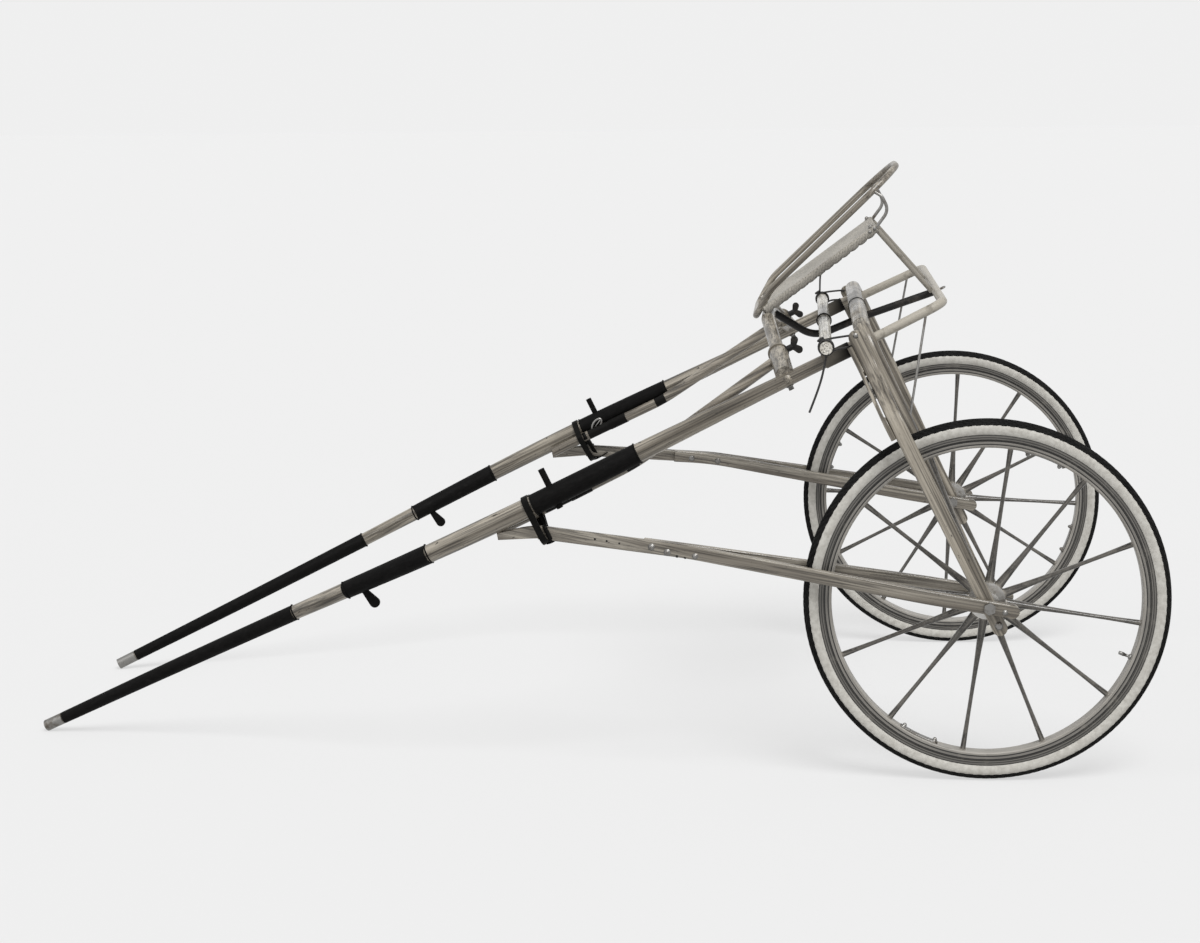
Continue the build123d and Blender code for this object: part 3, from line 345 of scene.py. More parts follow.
ash_arch = wood_finish("ash_arch", UP_LEG, *ASH, crossbar=0.46, bowed=0.12)
ash_leg = wood_finish("ash_up_leg", UP_LEG, *ASH, bowed=0.12)
ash_stay = wood_finish("ash_along_stay", (0, 0.16, 0), *STAY_ASH, bowed=0.15)
ash_hoop = wood_finish("ash_along_hoop", (0, -0.77, 0), *HOOP_ASH)
limed = wood_finish("limed_bar", ACROSS, *LIMED, 0.58)
print("woods", 8)

# %% [markdown]
# ## Wheels' wood
# Rims and spokes are darker: a grey-brown stain. Rims are rubbed paler in patches; spokes are pale along
# their edges, which is a painted highlight. Grain on a rim runs round it, so its noise is laid over the
# angle round the axle and the distance from it. The rim is lined: fine dark lines part a lighter inner
# band from a darker one beside the tyre. Spokes have an even fine fleck and let their shape do the rest.

# %% Wheel wood
RIM_LINES = (
    (0.0, 0.20), (0.10, 0.40), (0.28, 0.36), (0.31, 0.012), (0.365, 0.012), (0.39, 0.22), (0.51, 0.26),
    (0.53, 0.012), (0.59, 0.012), (0.61, 0.10), (0.74, 0.18), (0.76, 0.02), (0.80, 0.02), (0.82, 0.15),
    (0.90, 0.15), (0.93, 0.02), (1.0, 0.02),
)
RIM_BAND = (0.297, 0.0295)


def spoke_finish(name, dark, pale):
    """Stained wood with paler worn patches, and a painted highlight along its edges."""
    material, tree = new_finish(name, IOR=1.5)
    space = grain_space(tree)
    fleck = noise(tree, space, 190, 4, 0.6)
    patch = noise(tree, space, 22, 5, 0.6)
    colour = ramp(tree, fleck, [(0.36, dark), (0.62, pale)])
    worn = ramp(tree, patch, [(0.50, 0.0), (0.70, 0.45)])
    colour = blend_colours(tree, worn, colour, tuple(min(1, c * 1.9) for c in pale))
    # Pointiness lightens the convex edges: a painted highlight.
    edge = add_node(tree, "NewGeometry", {})["Pointiness"]
    wear_and_painted_highlight = ramp(tree, edge, [(0.51, 0.0), (0.58, 0.7)])
    colour = blend_colours(tree, wear_and_painted_highlight, colour, (0.34, 0.315, 0.275))
    return dress(material, colour, fleck, 0.2, 0.0005, ramp(tree, patch, [(0.3, 0.18), (0.7, 0.36)]))


def rim_finish(name):
    """Lined wood with its grain running round the wheel."""
    material, tree = new_finish(name, IOR=1.5)
    place = add_node(tree, "TexCoord", {})["Object"]
    centred = add_node(tree, "VectorMath", {0: place, 1: AXLE}, operation="SUBTRACT")[0]
    x, y, z = axes_of(tree, centred)
    squares = [measure(tree, "MULTIPLY", axis, axis) for axis in (x, z)]
    from_axle = measure(tree, "SQRT", measure(tree, "ADD", *squares))
    band = measure(tree, "DIVIDE", measure(tree, "SUBTRACT", from_axle, RIM_BAND[0]), RIM_BAND[1])
    turn_length = measure(tree, "MULTIPLY", measure(tree, "ARCTAN2", x, z), 5.0)
    depth, breadth = (measure(tree, "MULTIPLY", length, 420.0) for length in (from_axle, y))
    rounds = add_node(tree, "CombineXYZ", {0: turn_length, 1: depth, 2: breadth})[0]
    grain = noise(tree, rounds, 1.0, 5, 0.6)
    patch = noise(tree, grain_space(tree), 30, 6, 0.65)
    colour = ramp(tree, band, [(at, (0.78 * tone, 0.735 * tone, 0.66 * tone)) for at, tone in RIM_LINES])
    colour = blend_colours(tree, 0.7, colour, ramp(tree, grain, [(0.34, 0.45), (0.60, 1.0)]), "MULTIPLY")
    wear_and_painted_highlight = ramp(tree, patch, [(0.56, 0.0), (0.74, 0.4)])
    colour = blend_colours(tree, wear_and_painted_highlight, colour, (0.25, 0.233, 0.2))
    return dress(material, colour, grain, 0.25, 0.0005, ramp(tree, patch, [(0.3, 0.32), (0.7, 0.55)]))


spoke_wood = spoke_finish("stained_spoke", (0.018, 0.0165, 0.0145), (0.055, 0.05, 0.043))
rim_wood = rim_finish("lined_rim")
print("wheel woods", 2, "rim lines", len(RIM_LINES))

# %% [markdown]
# ## Leather and tape
# The shafts are bound in black where harness rubs: leather, and a tape wound in a slow spiral. Both are
# nearly black and dull, so what tells them apart is relief: a fine pebbled grain on the leather, and the
# step of each turn on the tape. The tape's rear wrap runs from black at the arch to pale grey further
# forward.

# %% Leather and tape
REAR_END_FADE = [(0.0, 0.0), (0.30, 0.0), (0.80, 0.75), (0.90, 0.75), (0.91, 0.0)]


def leather_finish(name, tone, rough, wound=0.0, faded=()):
    """Black leather or wound tape: wound is the pitch of the turns, faded the ramp that pales the rear wrap
    forward of the arch.
    """
    material, tree = new_finish(name, Specular_IOR_Level=0.06)
    even = grain_space(tree, ALONG_SHAFT)
    grain = noise(tree, even, 420, 3, 0.6)
    crease = noise(tree, grain_space(tree, ALONG_SHAFT, (60, 180, 180)), detail=5)
    scuff = noise(tree, even, 34, 6, 0.65)
    colour = ramp(tree, crease, [(0.35, tuple(c * 0.5 for c in tone)), (0.7, tone)])
    scuffs = ramp(tree, scuff, [(0.62, 0.0), (0.78, 0.4)])
    colour = blend_colours(tree, scuffs, colour, tuple(c * 5 for c in tone))
    if faded:
        # Forward of the arch, the rear wrap is blended towards pale grey.
        dusty = ramp(tree, measure(tree, "MULTIPLY", along_shaft(tree), 10.0), faded)
        colour = blend_colours(tree, dusty, colour, (0.17, 0.155, 0.13))
    height = grain
    if wound:
        space = grain_space(tree, (0, -pitch, 0.35), [0.314 / wound] * 3)
        turns = waves(tree, space, "X", 0.6, "SAW", 2.0)
        height = blend_colours(tree, 0.3, turns, grain)
    shine = ramp(tree, scuff, [(0.3, rough), (0.7, min(1, rough + 0.25))])
    return dress(material, colour, height, 0.5, 0.0008, shine)


bridle_leather = leather_finish("bridle_leather", TAPE_BLACK, 0.34)
wound_tape = leather_finish("wound_tape", (0.0055, 0.0052, 0.005), 0.46, 0.024, REAR_END_FADE)
print("leathers", 2)

# %% [markdown]
# ## Canvas
# The seat is a strip of stout canvas. Its threads are about a millimetre apart, so the weave is two
# crossed waves, one along the seat and one across it, in the seat's own slope. A wider slanting hatch
# and a fleck show from further off. Cloth that faces down is darker than cloth that faces up: painted shade.

# %% Canvas
def canvas_finish(name, pale, dark):
    """Plain-woven cloth, soiled in patches, with painted shade on cloth that faces down."""
    material, tree = new_finish(name, Roughness=0.86, Sheen_Weight=0.25)
    seat_turn = (0, -0.634, 0)
    fine = grain_space(tree, seat_turn, (230, 230, 230))
    weave = blend_colours(tree, 0.5, waves(tree, fine, "X", 0.4), waves(tree, fine, "Y", 0.4))
    soil = noise(tree, grain_space(tree, seat_turn, (14, 14, 14)), detail=6, rough=0.6)
    colour = ramp(tree, weave, [(0.2, dark), (0.8, pale)])
    stains = ramp(tree, soil, [(0.42, 0.0), (0.7, 0.6)])
    colour = blend_colours(tree, stains, colour, tuple(c * 0.6 for c in dark))
    fleck = noise(tree, grain_space(tree, seat_turn), 330, 3, 0.6)
    colour = blend_colours(tree, 0.8, colour, ramp(tree, fleck, [(0.34, 0.35), (0.52, 1.0)]), "MULTIPLY")
    rows = waves(tree, grain_space(tree, seat_turn, (85, 85, 85)), "DIAGONAL", 1.2)
    hatch = ramp(tree, rows, [(0.15, 0.62), (0.55, 1.0)])
    colour = blend_colours(tree, 0.45, colour, hatch, "MULTIPLY")
    # Cloth is darkened by how far its normal turns down: painted shade.
    facing = axes_of(tree, add_node(tree, "NewGeometry", {})["Normal"])["Z"]
    upward = measure(tree, "ADD", measure(tree, "MULTIPLY", facing, 0.5), 0.5)
    colour = blend_colours(tree, 1.0, colour, ramp(tree, upward, [(0.45, 0.55), (0.80, 1.0)]), "MULTIPLY")
    return dress(material, colour, weave, 0.5, 0.0004)


seat_cloth = canvas_finish("seat_cloth", (0.47, 0.44, 0.385), (0.28, 0.26, 0.222))
print("canvas done")

# %% [markdown]
# ## Metals
# Hubs are dull nickel. Caps, nuts, bolts and rods are dull steel. The centre bar and the clamps' wings
# are black iron, and the rear rail and its struts are tubes painted to match the ash. Scratches are long
# thin noise in the roughness. Wear and rust sit in patches.

# %% Metals
def metal_finish(name, tone, worn_tone, rough, metallic=1.0, wear=0.62, ahead=None):
    """Bare or painted metal with worn patches: ahead is another tone, and where along the shaft it starts."""
    gloss = 0.5 if metallic else 0.2
    material, tree = new_finish(name, Metallic=metallic, Specular_IOR_Level=gloss)
    even = grain_space(tree)
    patch = noise(tree, even, 45, 6, 0.65)
    scratch = noise(tree, grain_space(tree, ALONG_SHAFT, (30, 600, 600)), detail=3)
    worn = ramp(tree, patch, [(wear - 0.12, 0.0), (wear + 0.05, 1.0)])
    colour = blend_colours(tree, worn, tone, worn_tone)
    if ahead:
        start, other_tone = ahead
        past = measure(tree, "GREATER_THAN", along_shaft(tree), start)
        colour = blend_colours(tree, past, colour, other_tone)
    shine = ramp(tree, scratch, [(0.3, rough), (0.7, min(1, rough + 0.22))])
    return dress(material, colour, patch, 0.15, 0.0004, shine)


CLAMP_BAND = (0.146, (0.16, 0.142, 0.115))
nickel = metal_finish("dull_nickel", (0.56, 0.55, 0.53), (0.33, 0.30, 0.26), 0.28)
steel = metal_finish("dull_steel", (0.24, 0.235, 0.225), (0.12, 0.105, 0.09), 0.32)
black_iron = metal_finish("black_iron", (0.014, 0.0135, 0.013), (0.05, 0.043, 0.037), 0.35, 0.0)
tube_paint = metal_finish("painted_tube", (0.35, 0.325, 0.278), (0.16, 0.144, 0.12), 0.28, 0.0, 0.66)
strut_paint = metal_finish("painted_strut", (0.24, 0.222, 0.19), (0.11, 0.10, 0.083), 0.28, 0.0, 0.66)
clamp_iron = metal_finish(
    "clamp_iron", (0.012, 0.0115, 0.011), (0.035, 0.031, 0.027), 0.35, 0.0, ahead=CLAMP_BAND)
print("metals", 6)

# %% [markdown]
# ## Cord
# Black waxed cord ties the loose bar to the arch. Its strands could be modelled, but they are finer than
# a millimetre, so the twist is only a slanting relief.

# %% Cord finish
def cord_finish(name, tone):
    """Dark twisted cord."""
    material, tree = new_finish(name, Roughness=0.72)
    twist = noise(tree, grain_space(tree, (0.4, 0.5, 0.3), (300, 900, 900)), detail=2)
    colour = ramp(tree, twist, [(0.3, tuple(c * 0.5 for c in tone)), (0.7, tone)])
    return dress(material, colour, twist, 0.6, 0.0006)


black_cord = cord_finish("black_cord", (0.02, 0.019, 0.018))
print("cord finish done")

# %% [markdown]
# ## Rubber
# The tyres have a black tread and a cream side. Old rubber is dusty and never quite black. One recipe
# makes both, because they differ only in tone and in the size of the dust.

# %% Rubber
def rubber_finish(name, tone, dust, rough, dust_scale=26):
    """Rubber with dust in its pores."""
    material, tree = new_finish(name, Specular_IOR_Level=0.06)
    even = grain_space(tree)
    patch = noise(tree, even, dust_scale, 6, 0.65)
    pore = noise(tree, even, 380, 2)
    dusty = ramp(tree, patch, [(0.38, 0.0), (0.72, 0.7)])
    colour = blend_colours(tree, dusty, tone, dust)
    shine = ramp(tree, pore, [(0.3, rough), (0.7, min(1, rough + 0.15))])
    return dress(material, colour, pore, 0.2, 0.0003, shine)


tread_rubber = rubber_finish("tread_rubber", (0.005, 0.005, 0.005), (0.016, 0.0155, 0.0145), 0.55)
side_rubber = rubber_finish("cream_sidewall", (0.50, 0.487, 0.45), (0.29, 0.274, 0.245), 0.6, 95)
print("rubbers", 2)

# %% [markdown]
# ## Finishes onto the solids
# Each solid keeps its mesh and gets one finish. The table is read by the last words of a node's name,
# so left and right pieces share a row.

# %% Assign finishes
NODE_FINISH = {
    "shaft": ash_shaft, "brace_rail": ash_rail, "stay": ash_stay, "inner_stay": ash_stay,
    "arch": ash_arch, "outer_leg": ash_leg, "leg_lap": ash_leg, "front_bow": ash_across,
    "bow_sleeve": ash_across, "seat_hoop": ash_hoop, "seat_board": seat_cloth, "cross_bar": limed,
    "shaft_tip": steel, "axle": steel, "hub": nickel, "arch_band": black_iron, "screw_eye": steel,
    "seat_bracket": steel, "shaft_wraps": wound_tape, "shaft_strap": bridle_leather,
    "brace_rail_wrap": bridle_leather, "bow_clamp": clamp_iron, "brace_rod": steel,
    "centre_bar": black_iron, "rear_rail": tube_paint, "seat_strut": strut_paint, "lashing": black_cord,
    "lash_tail": black_cord, "seat_sling": seat_cloth, "tyre": tread_rubber, "rim": rim_wood,
    "spokes": spoke_wood,
}
for name, node in nodes.items():
    node.data.materials.clear()
    node.data.materials.append(NODE_FINISH[name.replace("left_", "").replace("right_", "")])
print("finished", len(nodes), "nodes")

# %% [markdown]
# ## Making meshes
# Small pieces are drawn into one mesh at a time: tubes along a line, turned rings, bolt heads, flat
# straps. Each maker adds to an open mesh, so a whole family of bolts becomes one piece that rides with
# the frame.

# %% Mesh makers
def close_mesh(name, mesh, finish, body):
    """Turns an open mesh into a piece that rides on a body."""
    data = bpy.data.meshes.new(name)
    bmesh.ops.recalc_face_normals(mesh, faces=mesh.faces)
    mesh.to_mesh(data)
    mesh.free()
    for face in data.polygons:
        face.use_smooth = True
    piece = add_object(name, data)
    for material in finish if isinstance(finish, (list, tuple)) else [finish]:
        data.materials.append(material)
    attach(piece, body)
    return piece


def ring_at(mesh, centre, across, up, radius, count, sides=0):
    """A ring of vertices in the plane of two directions; sides gives it flats."""
    ring = []
    for k in range(count):
        angle = 2 * pi * k / count
        half = pi / sides if sides else 0
        flat = cos(half) / cos(angle % (2 * half) - half) if sides else 1
        ring.append(mesh.verts.new(centre + (across * cos(angle) + up * sin(angle)) * radius * flat))
    return ring


def stitch(mesh, first, second):
    """Quads between two rings."""
    count = len(first)
    for k in range(count):
        mesh.faces.new((first[k], first[(k + 1) % count], second[(k + 1) % count], second[k]))


def skin(mesh, rings, closed=False):
    """Quads along a row of rings, which is closed on itself or capped at both ends."""
    for first, second in zip(rings, rings[1:]):
        stitch(mesh, first, second)
    if closed:
        stitch(mesh, rings[-1], rings[0])
    else:
        mesh.faces.new(rings[0][::-1])
        mesh.faces.new(rings[-1])


def tube(mesh, line, radius, count=10, closed=False):
    """A round tube along points; radius may be one number or one for each point."""
    line = [Vector(point) for point in line]
    radii = radius if hasattr(radius, "__len__") else [radius] * len(line)
    last = len(line) - 1
    across = None
    rings = []
    for k, point in enumerate(line):
        before = line[k - 1] if k or closed else line[0]
        after = line[(k + 1) % len(line)] if k < last or closed else line[last]
        tangent = (after - before).normalized()
        if across is None:
            across = tangent.orthogonal().normalized()
        across = (across - tangent * across.dot(tangent)).normalized()
        rings.append(ring_at(mesh, point, across, tangent.cross(across), radii[k], count))
    skin(mesh, rings, closed)


def smooth_line(points, steps=6):
    """Points along a smooth line through the given ones."""
    points = [Vector(point) for point in points]
    padded = [points[0] * 2 - points[1]] + points + [points[-1] * 2 - points[-2]]
    line = []
    for p0, p1, p2, p3 in zip(padded, padded[1:], padded[2:], padded[3:]):
        for k in range(steps):
            t = k / steps
            line.append(
                (p1 * 2 + (p2 - p0) * t + (p0 * 2 - p1 * 5 + p2 * 4 - p3) * t * t
                 + (p1 * 3 - p0 - p2 * 3 + p3) * t**3) / 2
            )
    return line + [points[-1]]


def bolt(mesh, place, out, radius, height, sides=0):
    """A bolt head on a washer: domed, or with flats where sides is given. Lengths in metres."""
    out = Vector(out).normalized()
    across = out.orthogonal().normalized()
    up = out.cross(across)
    washer = radius * 1.35
    count = 20
    rows = [(0, washer), (height * 0.14, washer), (height * 0.16, radius)]
    if sides:
        rows += [(height, radius), (height, radius * 0.8)]
    else:
        rows += [(height * (0.16 + 0.84 * sin(a)), radius * cos(a)) for a in (0.4, 0.8, 1.2, 1.5)]
    rings = []
    for rise, r in rows:
        flats = sides if rise > height * 0.15 and r > radius * 0.9 else 0
        rings.append(ring_at(mesh, place + out * rise, across, up, r, count, flats))
    skin(mesh, rings)


def strip(mesh, line, width_dir, width, thickness):
    """A flat strap along points; width_dir lies across it."""
    rows = []
    for k, point in enumerate(line):
        tangent = (line[min(k + 1, len(line) - 1)] - line[max(k - 1, 0)]).normalized()
        across = (width_dir - tangent * width_dir.dot(tangent)).normalized()
        half, rise = across * width / 2, tangent.cross(across) * thickness / 2
        corners = (half + rise, -half + rise, -half - rise, half - rise)
        rows.append([mesh.verts.new(point + corner) for corner in corners])
    skin(mesh, rows)


print("makers ready")

# %% [markdown]
# ## Tyres
# A pneumatic tyre of the bicycle kind: a round section, a black tread with raised blocks, and pale
# sides down to the rim. A ring is turned from the section, the finish changes where the tread ends, and
# the blocks are laid round the crown in staggered rows, no prouder than the solid ring's own radius.

# %% Tyres
TYRE_SECTION_R = 0.0195
TYRE_CENTRE_R = WHEEL_R - TYRE_SECTION_R
TREAD_ANGLE = radians(67)
TREAD_RISE = 0.0012
TREAD_ROWS = (-57, -38, -19, 0, 19, 38, 57)
TREAD_BLOCKS = 132
BLOCK_HALF_PHI, BLOCK_HALF_ANGLE = radians(8.2), pi / TREAD_BLOCKS * 0.62


def wheel_point(y, radius, angle):
    """A point on a wheel, from its axle: angle from straight up, clockwise seen from the left."""
    return Vector((AXLE.x - radius * sin(angle), y, AXLE.z + radius * cos(angle)))


def section_point(y, phi, r, angle):
    """A point on a tyre's skin: phi from the crown, r from the centre of its section."""
    return wheel_point(y + r * sin(phi), TYRE_CENTRE_R + r * cos(phi), angle)


def on_tread(phi):
    """Whether a place round the section belongs to the tread."""
    return min(phi, 2 * pi - phi) < TREAD_ANGLE


def make_tyre(name, y, body):
    """The ring, then the tread blocks."""
    mesh = bmesh.new()
    steps, around = 40, 180
    phis = [2 * pi * k / steps for k in range(steps)]
    skin_r, side_r = TYRE_SECTION_R - TREAD_RISE, TYRE_SECTION_R - TREAD_RISE * 0.4
    rings = []
    for j in range(around):
        angle = 2 * pi * j / around
        radii = [skin_r if on_tread(phi) else side_r for phi in phis]
        rings.append([mesh.verts.new(section_point(y, phi, r, angle)) for phi, r in zip(phis, radii)])
    skin(mesh, rings, closed=True)
    mesh.faces.ensure_lookup_table()
    for index, face in enumerate(mesh.faces):
        face.material_index = 0 if on_tread(phis[index % steps] + pi / steps) else 1
    for row, degrees_off in enumerate(TREAD_ROWS):
        for j in range(TREAD_BLOCKS):
            angle = 2 * pi * (j + 0.5 * (row % 2)) / TREAD_BLOCKS
            slant = BLOCK_HALF_ANGLE * 0.5 * (1 if row % 2 else -1)
            quads = []
            for r, grow in ((skin_r - 0.0004, 1.0), (TYRE_SECTION_R, 0.82)):
                quad = []
                for a, b in ((-1, -1), (1, -1), (1, 1), (-1, 1)):
                    phi = radians(degrees_off) + a * BLOCK_HALF_PHI * grow
                    around_at = angle + b * BLOCK_HALF_ANGLE * grow + a * slant
                    quad.append(mesh.verts.new(section_point(y, phi, r, around_at)))
                quads.append(quad)
            stitch(mesh, quads[0], quads[1])
            mesh.faces.new(quads[1])
    piece = close_mesh(name, mesh, [tread_rubber, side_rubber], body)
    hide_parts(body.replace("wheel", "tyre"))
    return piece


for side_name, sign in (("left", 1), ("right", -1)):
    tyre = make_tyre(side_name + "_tyre_dressed", sign * WHEEL_Y, side_name + "_wheel")
print("tyre faces", len(tyre.data.polygons))

# %% [markdown]
# ## Seat canvas
# A strip of canvas is drawn over both side boards and hangs a little between them. Along each board its
# lower edge is cut in scallops and laced. The sheet is a grid: one direction runs along the seat, the
# other follows the strip from one scalloped edge, up the outside of a board, across the dip and down
# the other side. Thickness is added afterwards, so the cloth stays one sheet.

# %% Seat canvas
SEAT_HALF = 150.0
BOARD_FRONT = (166.0, 660.7)
BOARD_REAR = (-126.0, 715.1)
BOARD_HALF_DEPTH = 5.5
BOARD_HALF_THICK = 5.5
CLOTH_SKIN = 1.4
SCALLOP_PITCH = 22.0
SCALLOP_DEPTH = 3.6
FLAP = 7.0
DIP = 9.0
CLOTH_STATIONS = 90
CLOTH_THICK = 0.0014
board_run = Vector((BOARD_REAR[0] - BOARD_FRONT[0], 0, BOARD_REAR[1] - BOARD_FRONT[1]))
board_length = board_run.length
board_dir = board_run.normalized()
board_up = Vector((-board_dir.z, 0, board_dir.x)) * (-1 if board_dir.x < 0 else 1)


def seat_point(s, y, h):
    """A point of the seat: s along a board from its front end, y across, h above the board's middle."""
    driving = Vector((BOARD_FRONT[0], 0, BOARD_FRONT[1])) + board_dir * s + board_up * h
    return parked(driving.x, y, driving.z)


def cloth_profile(flap):
    """Half of the strip across the seat, from the middle out and over a board, down to the flap's edge."""
    out, top = BOARD_HALF_THICK + CLOTH_SKIN, BOARD_HALF_DEPTH + CLOTH_SKIN
    inner = SEAT_HALF - out - 4
    rows = [(y, (top + DIP - 1) * (y / inner) ** 2.3 - DIP) for y in (0, 25, 50, 75, 95, 112, 126, inner)]
    rows += [(SEAT_HALF - out * 0.55, top), (SEAT_HALF + out * 0.55, top), (SEAT_HALF + out, top - 1.5)]
    rows += [(SEAT_HALF + out + 0.3, 0), (SEAT_HALF + out + 0.4, -4), (SEAT_HALF + out, flap)]
    return rows


def make_cloth():
    """The whole strip as one grid."""
    mesh = bmesh.new()
    lines = []
    for k in range(CLOTH_STATIONS + 1):
        s = 3 + (board_length - 6) * k / CLOTH_STATIONS
        wave = SCALLOP_DEPTH * abs(sin(pi * s / SCALLOP_PITCH)) ** 0.7
        half = cloth_profile(-FLAP - wave)
        row = [(-y, h) for y, h in half[:0:-1]] + half
        lines.append([mesh.verts.new(seat_point(s, y, h)) for y, h in row])
    for first, second in zip(lines, lines[1:]):
        for a, b, c, d in zip(first, first[1:], second[1:], second):
            mesh.faces.new((a, b, c, d))
    piece = close_mesh("seat_canvas", mesh, seat_cloth, "frame")
    half = cloth_profile(-FLAP - 2.0)
    spans = [((a[0] - b[0]) ** 2 + (a[1] - b[1]) ** 2) ** 0.5 for a, b in zip(half, half[1:])]
    width = 2 * sum(spans) / 1000
    thick = piece.modifiers.new("thickness", "SOLIDIFY")
    thick.thickness = CLOTH_THICK
    thick.offset = 0
    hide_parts("seat_sling")
    return width


cloth_width = make_cloth()
print("cloth", round(cloth_width, 3), "by", round(board_length / 1000, 3), "m")

# %% [markdown]
# ## Lashings
# The pale loose bar is tied down at both ends. Each lashing is four close turns of cord round the bar
# and two strands pulled back to the arch, with a knot on top. On the right, one strand goes on up to
# the seat. Taut cord is simply a tube along its line.

# %% Lashings
BAR_U, BAR_W, BAR_R, BAR_HALF = 66.0, 573.25, 12.5, 540.0
CORD_R = 2.1
CORD = (CORD_R / 1000, 8)


def make_lashing(name, sign, node):
    """Turns, strands and knot at one end of the bar."""
    mesh = bmesh.new()
    y0 = BAR_HALF - 20.0
    turns = []
    steps = 24
    for k in range(steps * 4 + 1):
        angle = 2 * pi * k / steps
        y = y0 - 6.6 + 4.4 * k / steps * 0.98
        r = BAR_R + CORD_R
        turns.append(parked(BAR_U + r * sin(angle), sign * y, BAR_W + r * cos(angle)))
    tube(mesh, turns, *CORD)
    leg_y = 505.0
    top, low = BAR_W + BAR_R + CORD_R, BAR_W - BAR_R - CORD_R
    runs = (
        [(BAR_U + 2, y0 - 4, top), (BAR_U - 16, y0 - 6, top - 4),
         (24, leg_y + 3, BAR_W + 2), (9, leg_y - 4, BAR_W - 4)],
        [(BAR_U + 2, y0 + 4, low), (BAR_U - 16, y0 + 1, low + 2),
         (26, leg_y + 3, BAR_W - 20), (10, leg_y - 4, BAR_W - 22)],
    )
    for run in runs:
        tube(mesh, smooth_line([parked(u, sign * y, w) for u, y, w in run]), *CORD)
    knot = []
    for k in range(28):
        angle = 4 * pi * k / 28
        r = 5.0 + 1.2 * sin(3 * angle)
        rise = BAR_W + BAR_R + 5.5 + 1.6 * sin(angle * 0.5)
        knot.append(parked(BAR_U + 3 + r * cos(angle), sign * (y0 + r * sin(angle)), rise))
    tube(mesh, knot, *CORD, closed=True)
    if sign < 0:
        foot = parked(BAR_U - 2, sign * (y0 + 2), top + 3)
        hold = seat_point(157, -SEAT_HALF, -9)
        middle = foot.lerp(hold, 0.5) + Vector((0.004, 0, 0.004))
        tube(mesh, smooth_line([foot, middle, hold]), *CORD)
    piece = close_mesh(name, mesh, black_cord, "frame")
    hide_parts(node)


make_lashing("left_lash_cord", 1, "left_lashing")
make_lashing("right_lash_cord", -1, "right_lashing")
print("lashings", 2)

# %% [markdown]
# ## The free cord end
# One end of the left lashing hangs free beside the leg. It is a real length of cord, so it is drawn as
# one smooth line through the points that its solid follows.

# %% Free cord end
TAIL_START = parked(BAR_U, BAR_HALF - 16.0, BAR_W) - Vector((0, 0, BAR_R / 1000 + 0.0045))
TAIL_STEPS = ((0.0, 2.0, 0.2), (5.0, 6.0, 30.0), (17.0, 13.0, 69.0), (33.0, 16.0, 109.0))
TAIL_DIA = 0.0045
tail_points = [TAIL_START + Vector((f, o, -d)) / 1000 for f, o, d in TAIL_STEPS]
tail_data = bpy.data.curves.new("left_lash_end", "CURVE")
tail_data.dimensions = "3D"
tail_data.bevel_depth = TAIL_DIA / 2
tail_data.bevel_resolution = 4
tail_data.use_fill_caps = True
tail_data.resolution_u = 16
spline = tail_data.splines.new("NURBS")
spline.points.add(len(tail_points) - 1)
for control, point in zip(spline.points, tail_points):
    control.co = (*point, 1)
spline.order_u = 3
spline.use_endpoint_u = True
tail = add_object("left_lash_end", tail_data)
tail_data.materials.append(black_cord)
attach(tail, "frame")
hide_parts("left_lash_tail")

# %% [markdown]
# ## Finding a surface
# Small fittings sit on the solids, so their places are found by looking along a straight line until it
# meets a solid. The same trick wraps a strap: look inward from all round, and lay the strap on whatever
# is met.

# %% Finding a surface
INSIDE_Y, OUTSIDE_Y = 20.0, 900.0
solid_trees = {}


def touch(names, start, direction):
    """Where a line first meets any of the named solids, and which way that surface faces."""
    nearest = None
    for name in names:
        if name not in solid_trees:
            mesh, place = nodes[name].data, nodes[name].matrix_world
            corners = [place @ vertex.co for vertex in mesh.vertices]
            solid_trees[name] = BVHTree.FromPolygons(corners, [face.vertices for face in mesh.polygons])
        hit, facing, _, distance = solid_trees[name].ray_cast(start, direction)
        if hit and (nearest is None or distance < nearest[2]):
            nearest = (hit, facing, distance)
    return nearest


def on_side(name, u, w, sign, inside=False):
    """A point on the outer or inner side of a solid, given in driving millimetres."""
    far = sign * (INSIDE_Y if inside else OUTSIDE_Y)
    way = Vector((0, sign if inside else -sign, 0))
    return touch([name], parked(u, far, w), way)


LOOP_REACH = 90.0
LEAST_LOOP_R = 6.0


def wrapped_loop(names, u, y, w, count, gap):
    """Points of a loop drawn round solids, in the plane across the cart at u; gap in millimetres."""
    middle = parked(u, y, w)
    up = parked(u, y, w + 1) - middle
    across = Vector((0, 0.001, 0))
    line = []
    for k in range(count):
        angle = 2 * pi * k / count
        way = across * cos(angle) + up * sin(angle)
        met = touch(names, middle + way * LOOP_REACH, -way.normalized())
        radius = LOOP_REACH - met[2] * 1000 if met else LEAST_LOOP_R
        line.append(middle + way * (max(radius, LEAST_LOOP_R) + gap))
    return line


def side_of(sign):
    """The prefix of a side's nodes."""
    return "left_" if sign > 0 else "right_"


print("driving up is", [round(v, 3) for v in (parked(0, 0, 1) - parked(0, 0, 0)) * 1000])

# %% [markdown]
# ## Bolts and nails
# Bolts hold the stays' splice, the leg's foot, the elbow of the arch and the foot of the bow's sleeve.
# Nuts sit on the splice's inner side, a wooden boss under each sleeve, and brads along the front of each
# stay. Each row of the table is one bolt on each side of the cart: the solid that it sits on, its place
# in driving millimetres, its radius, its height and its flats.

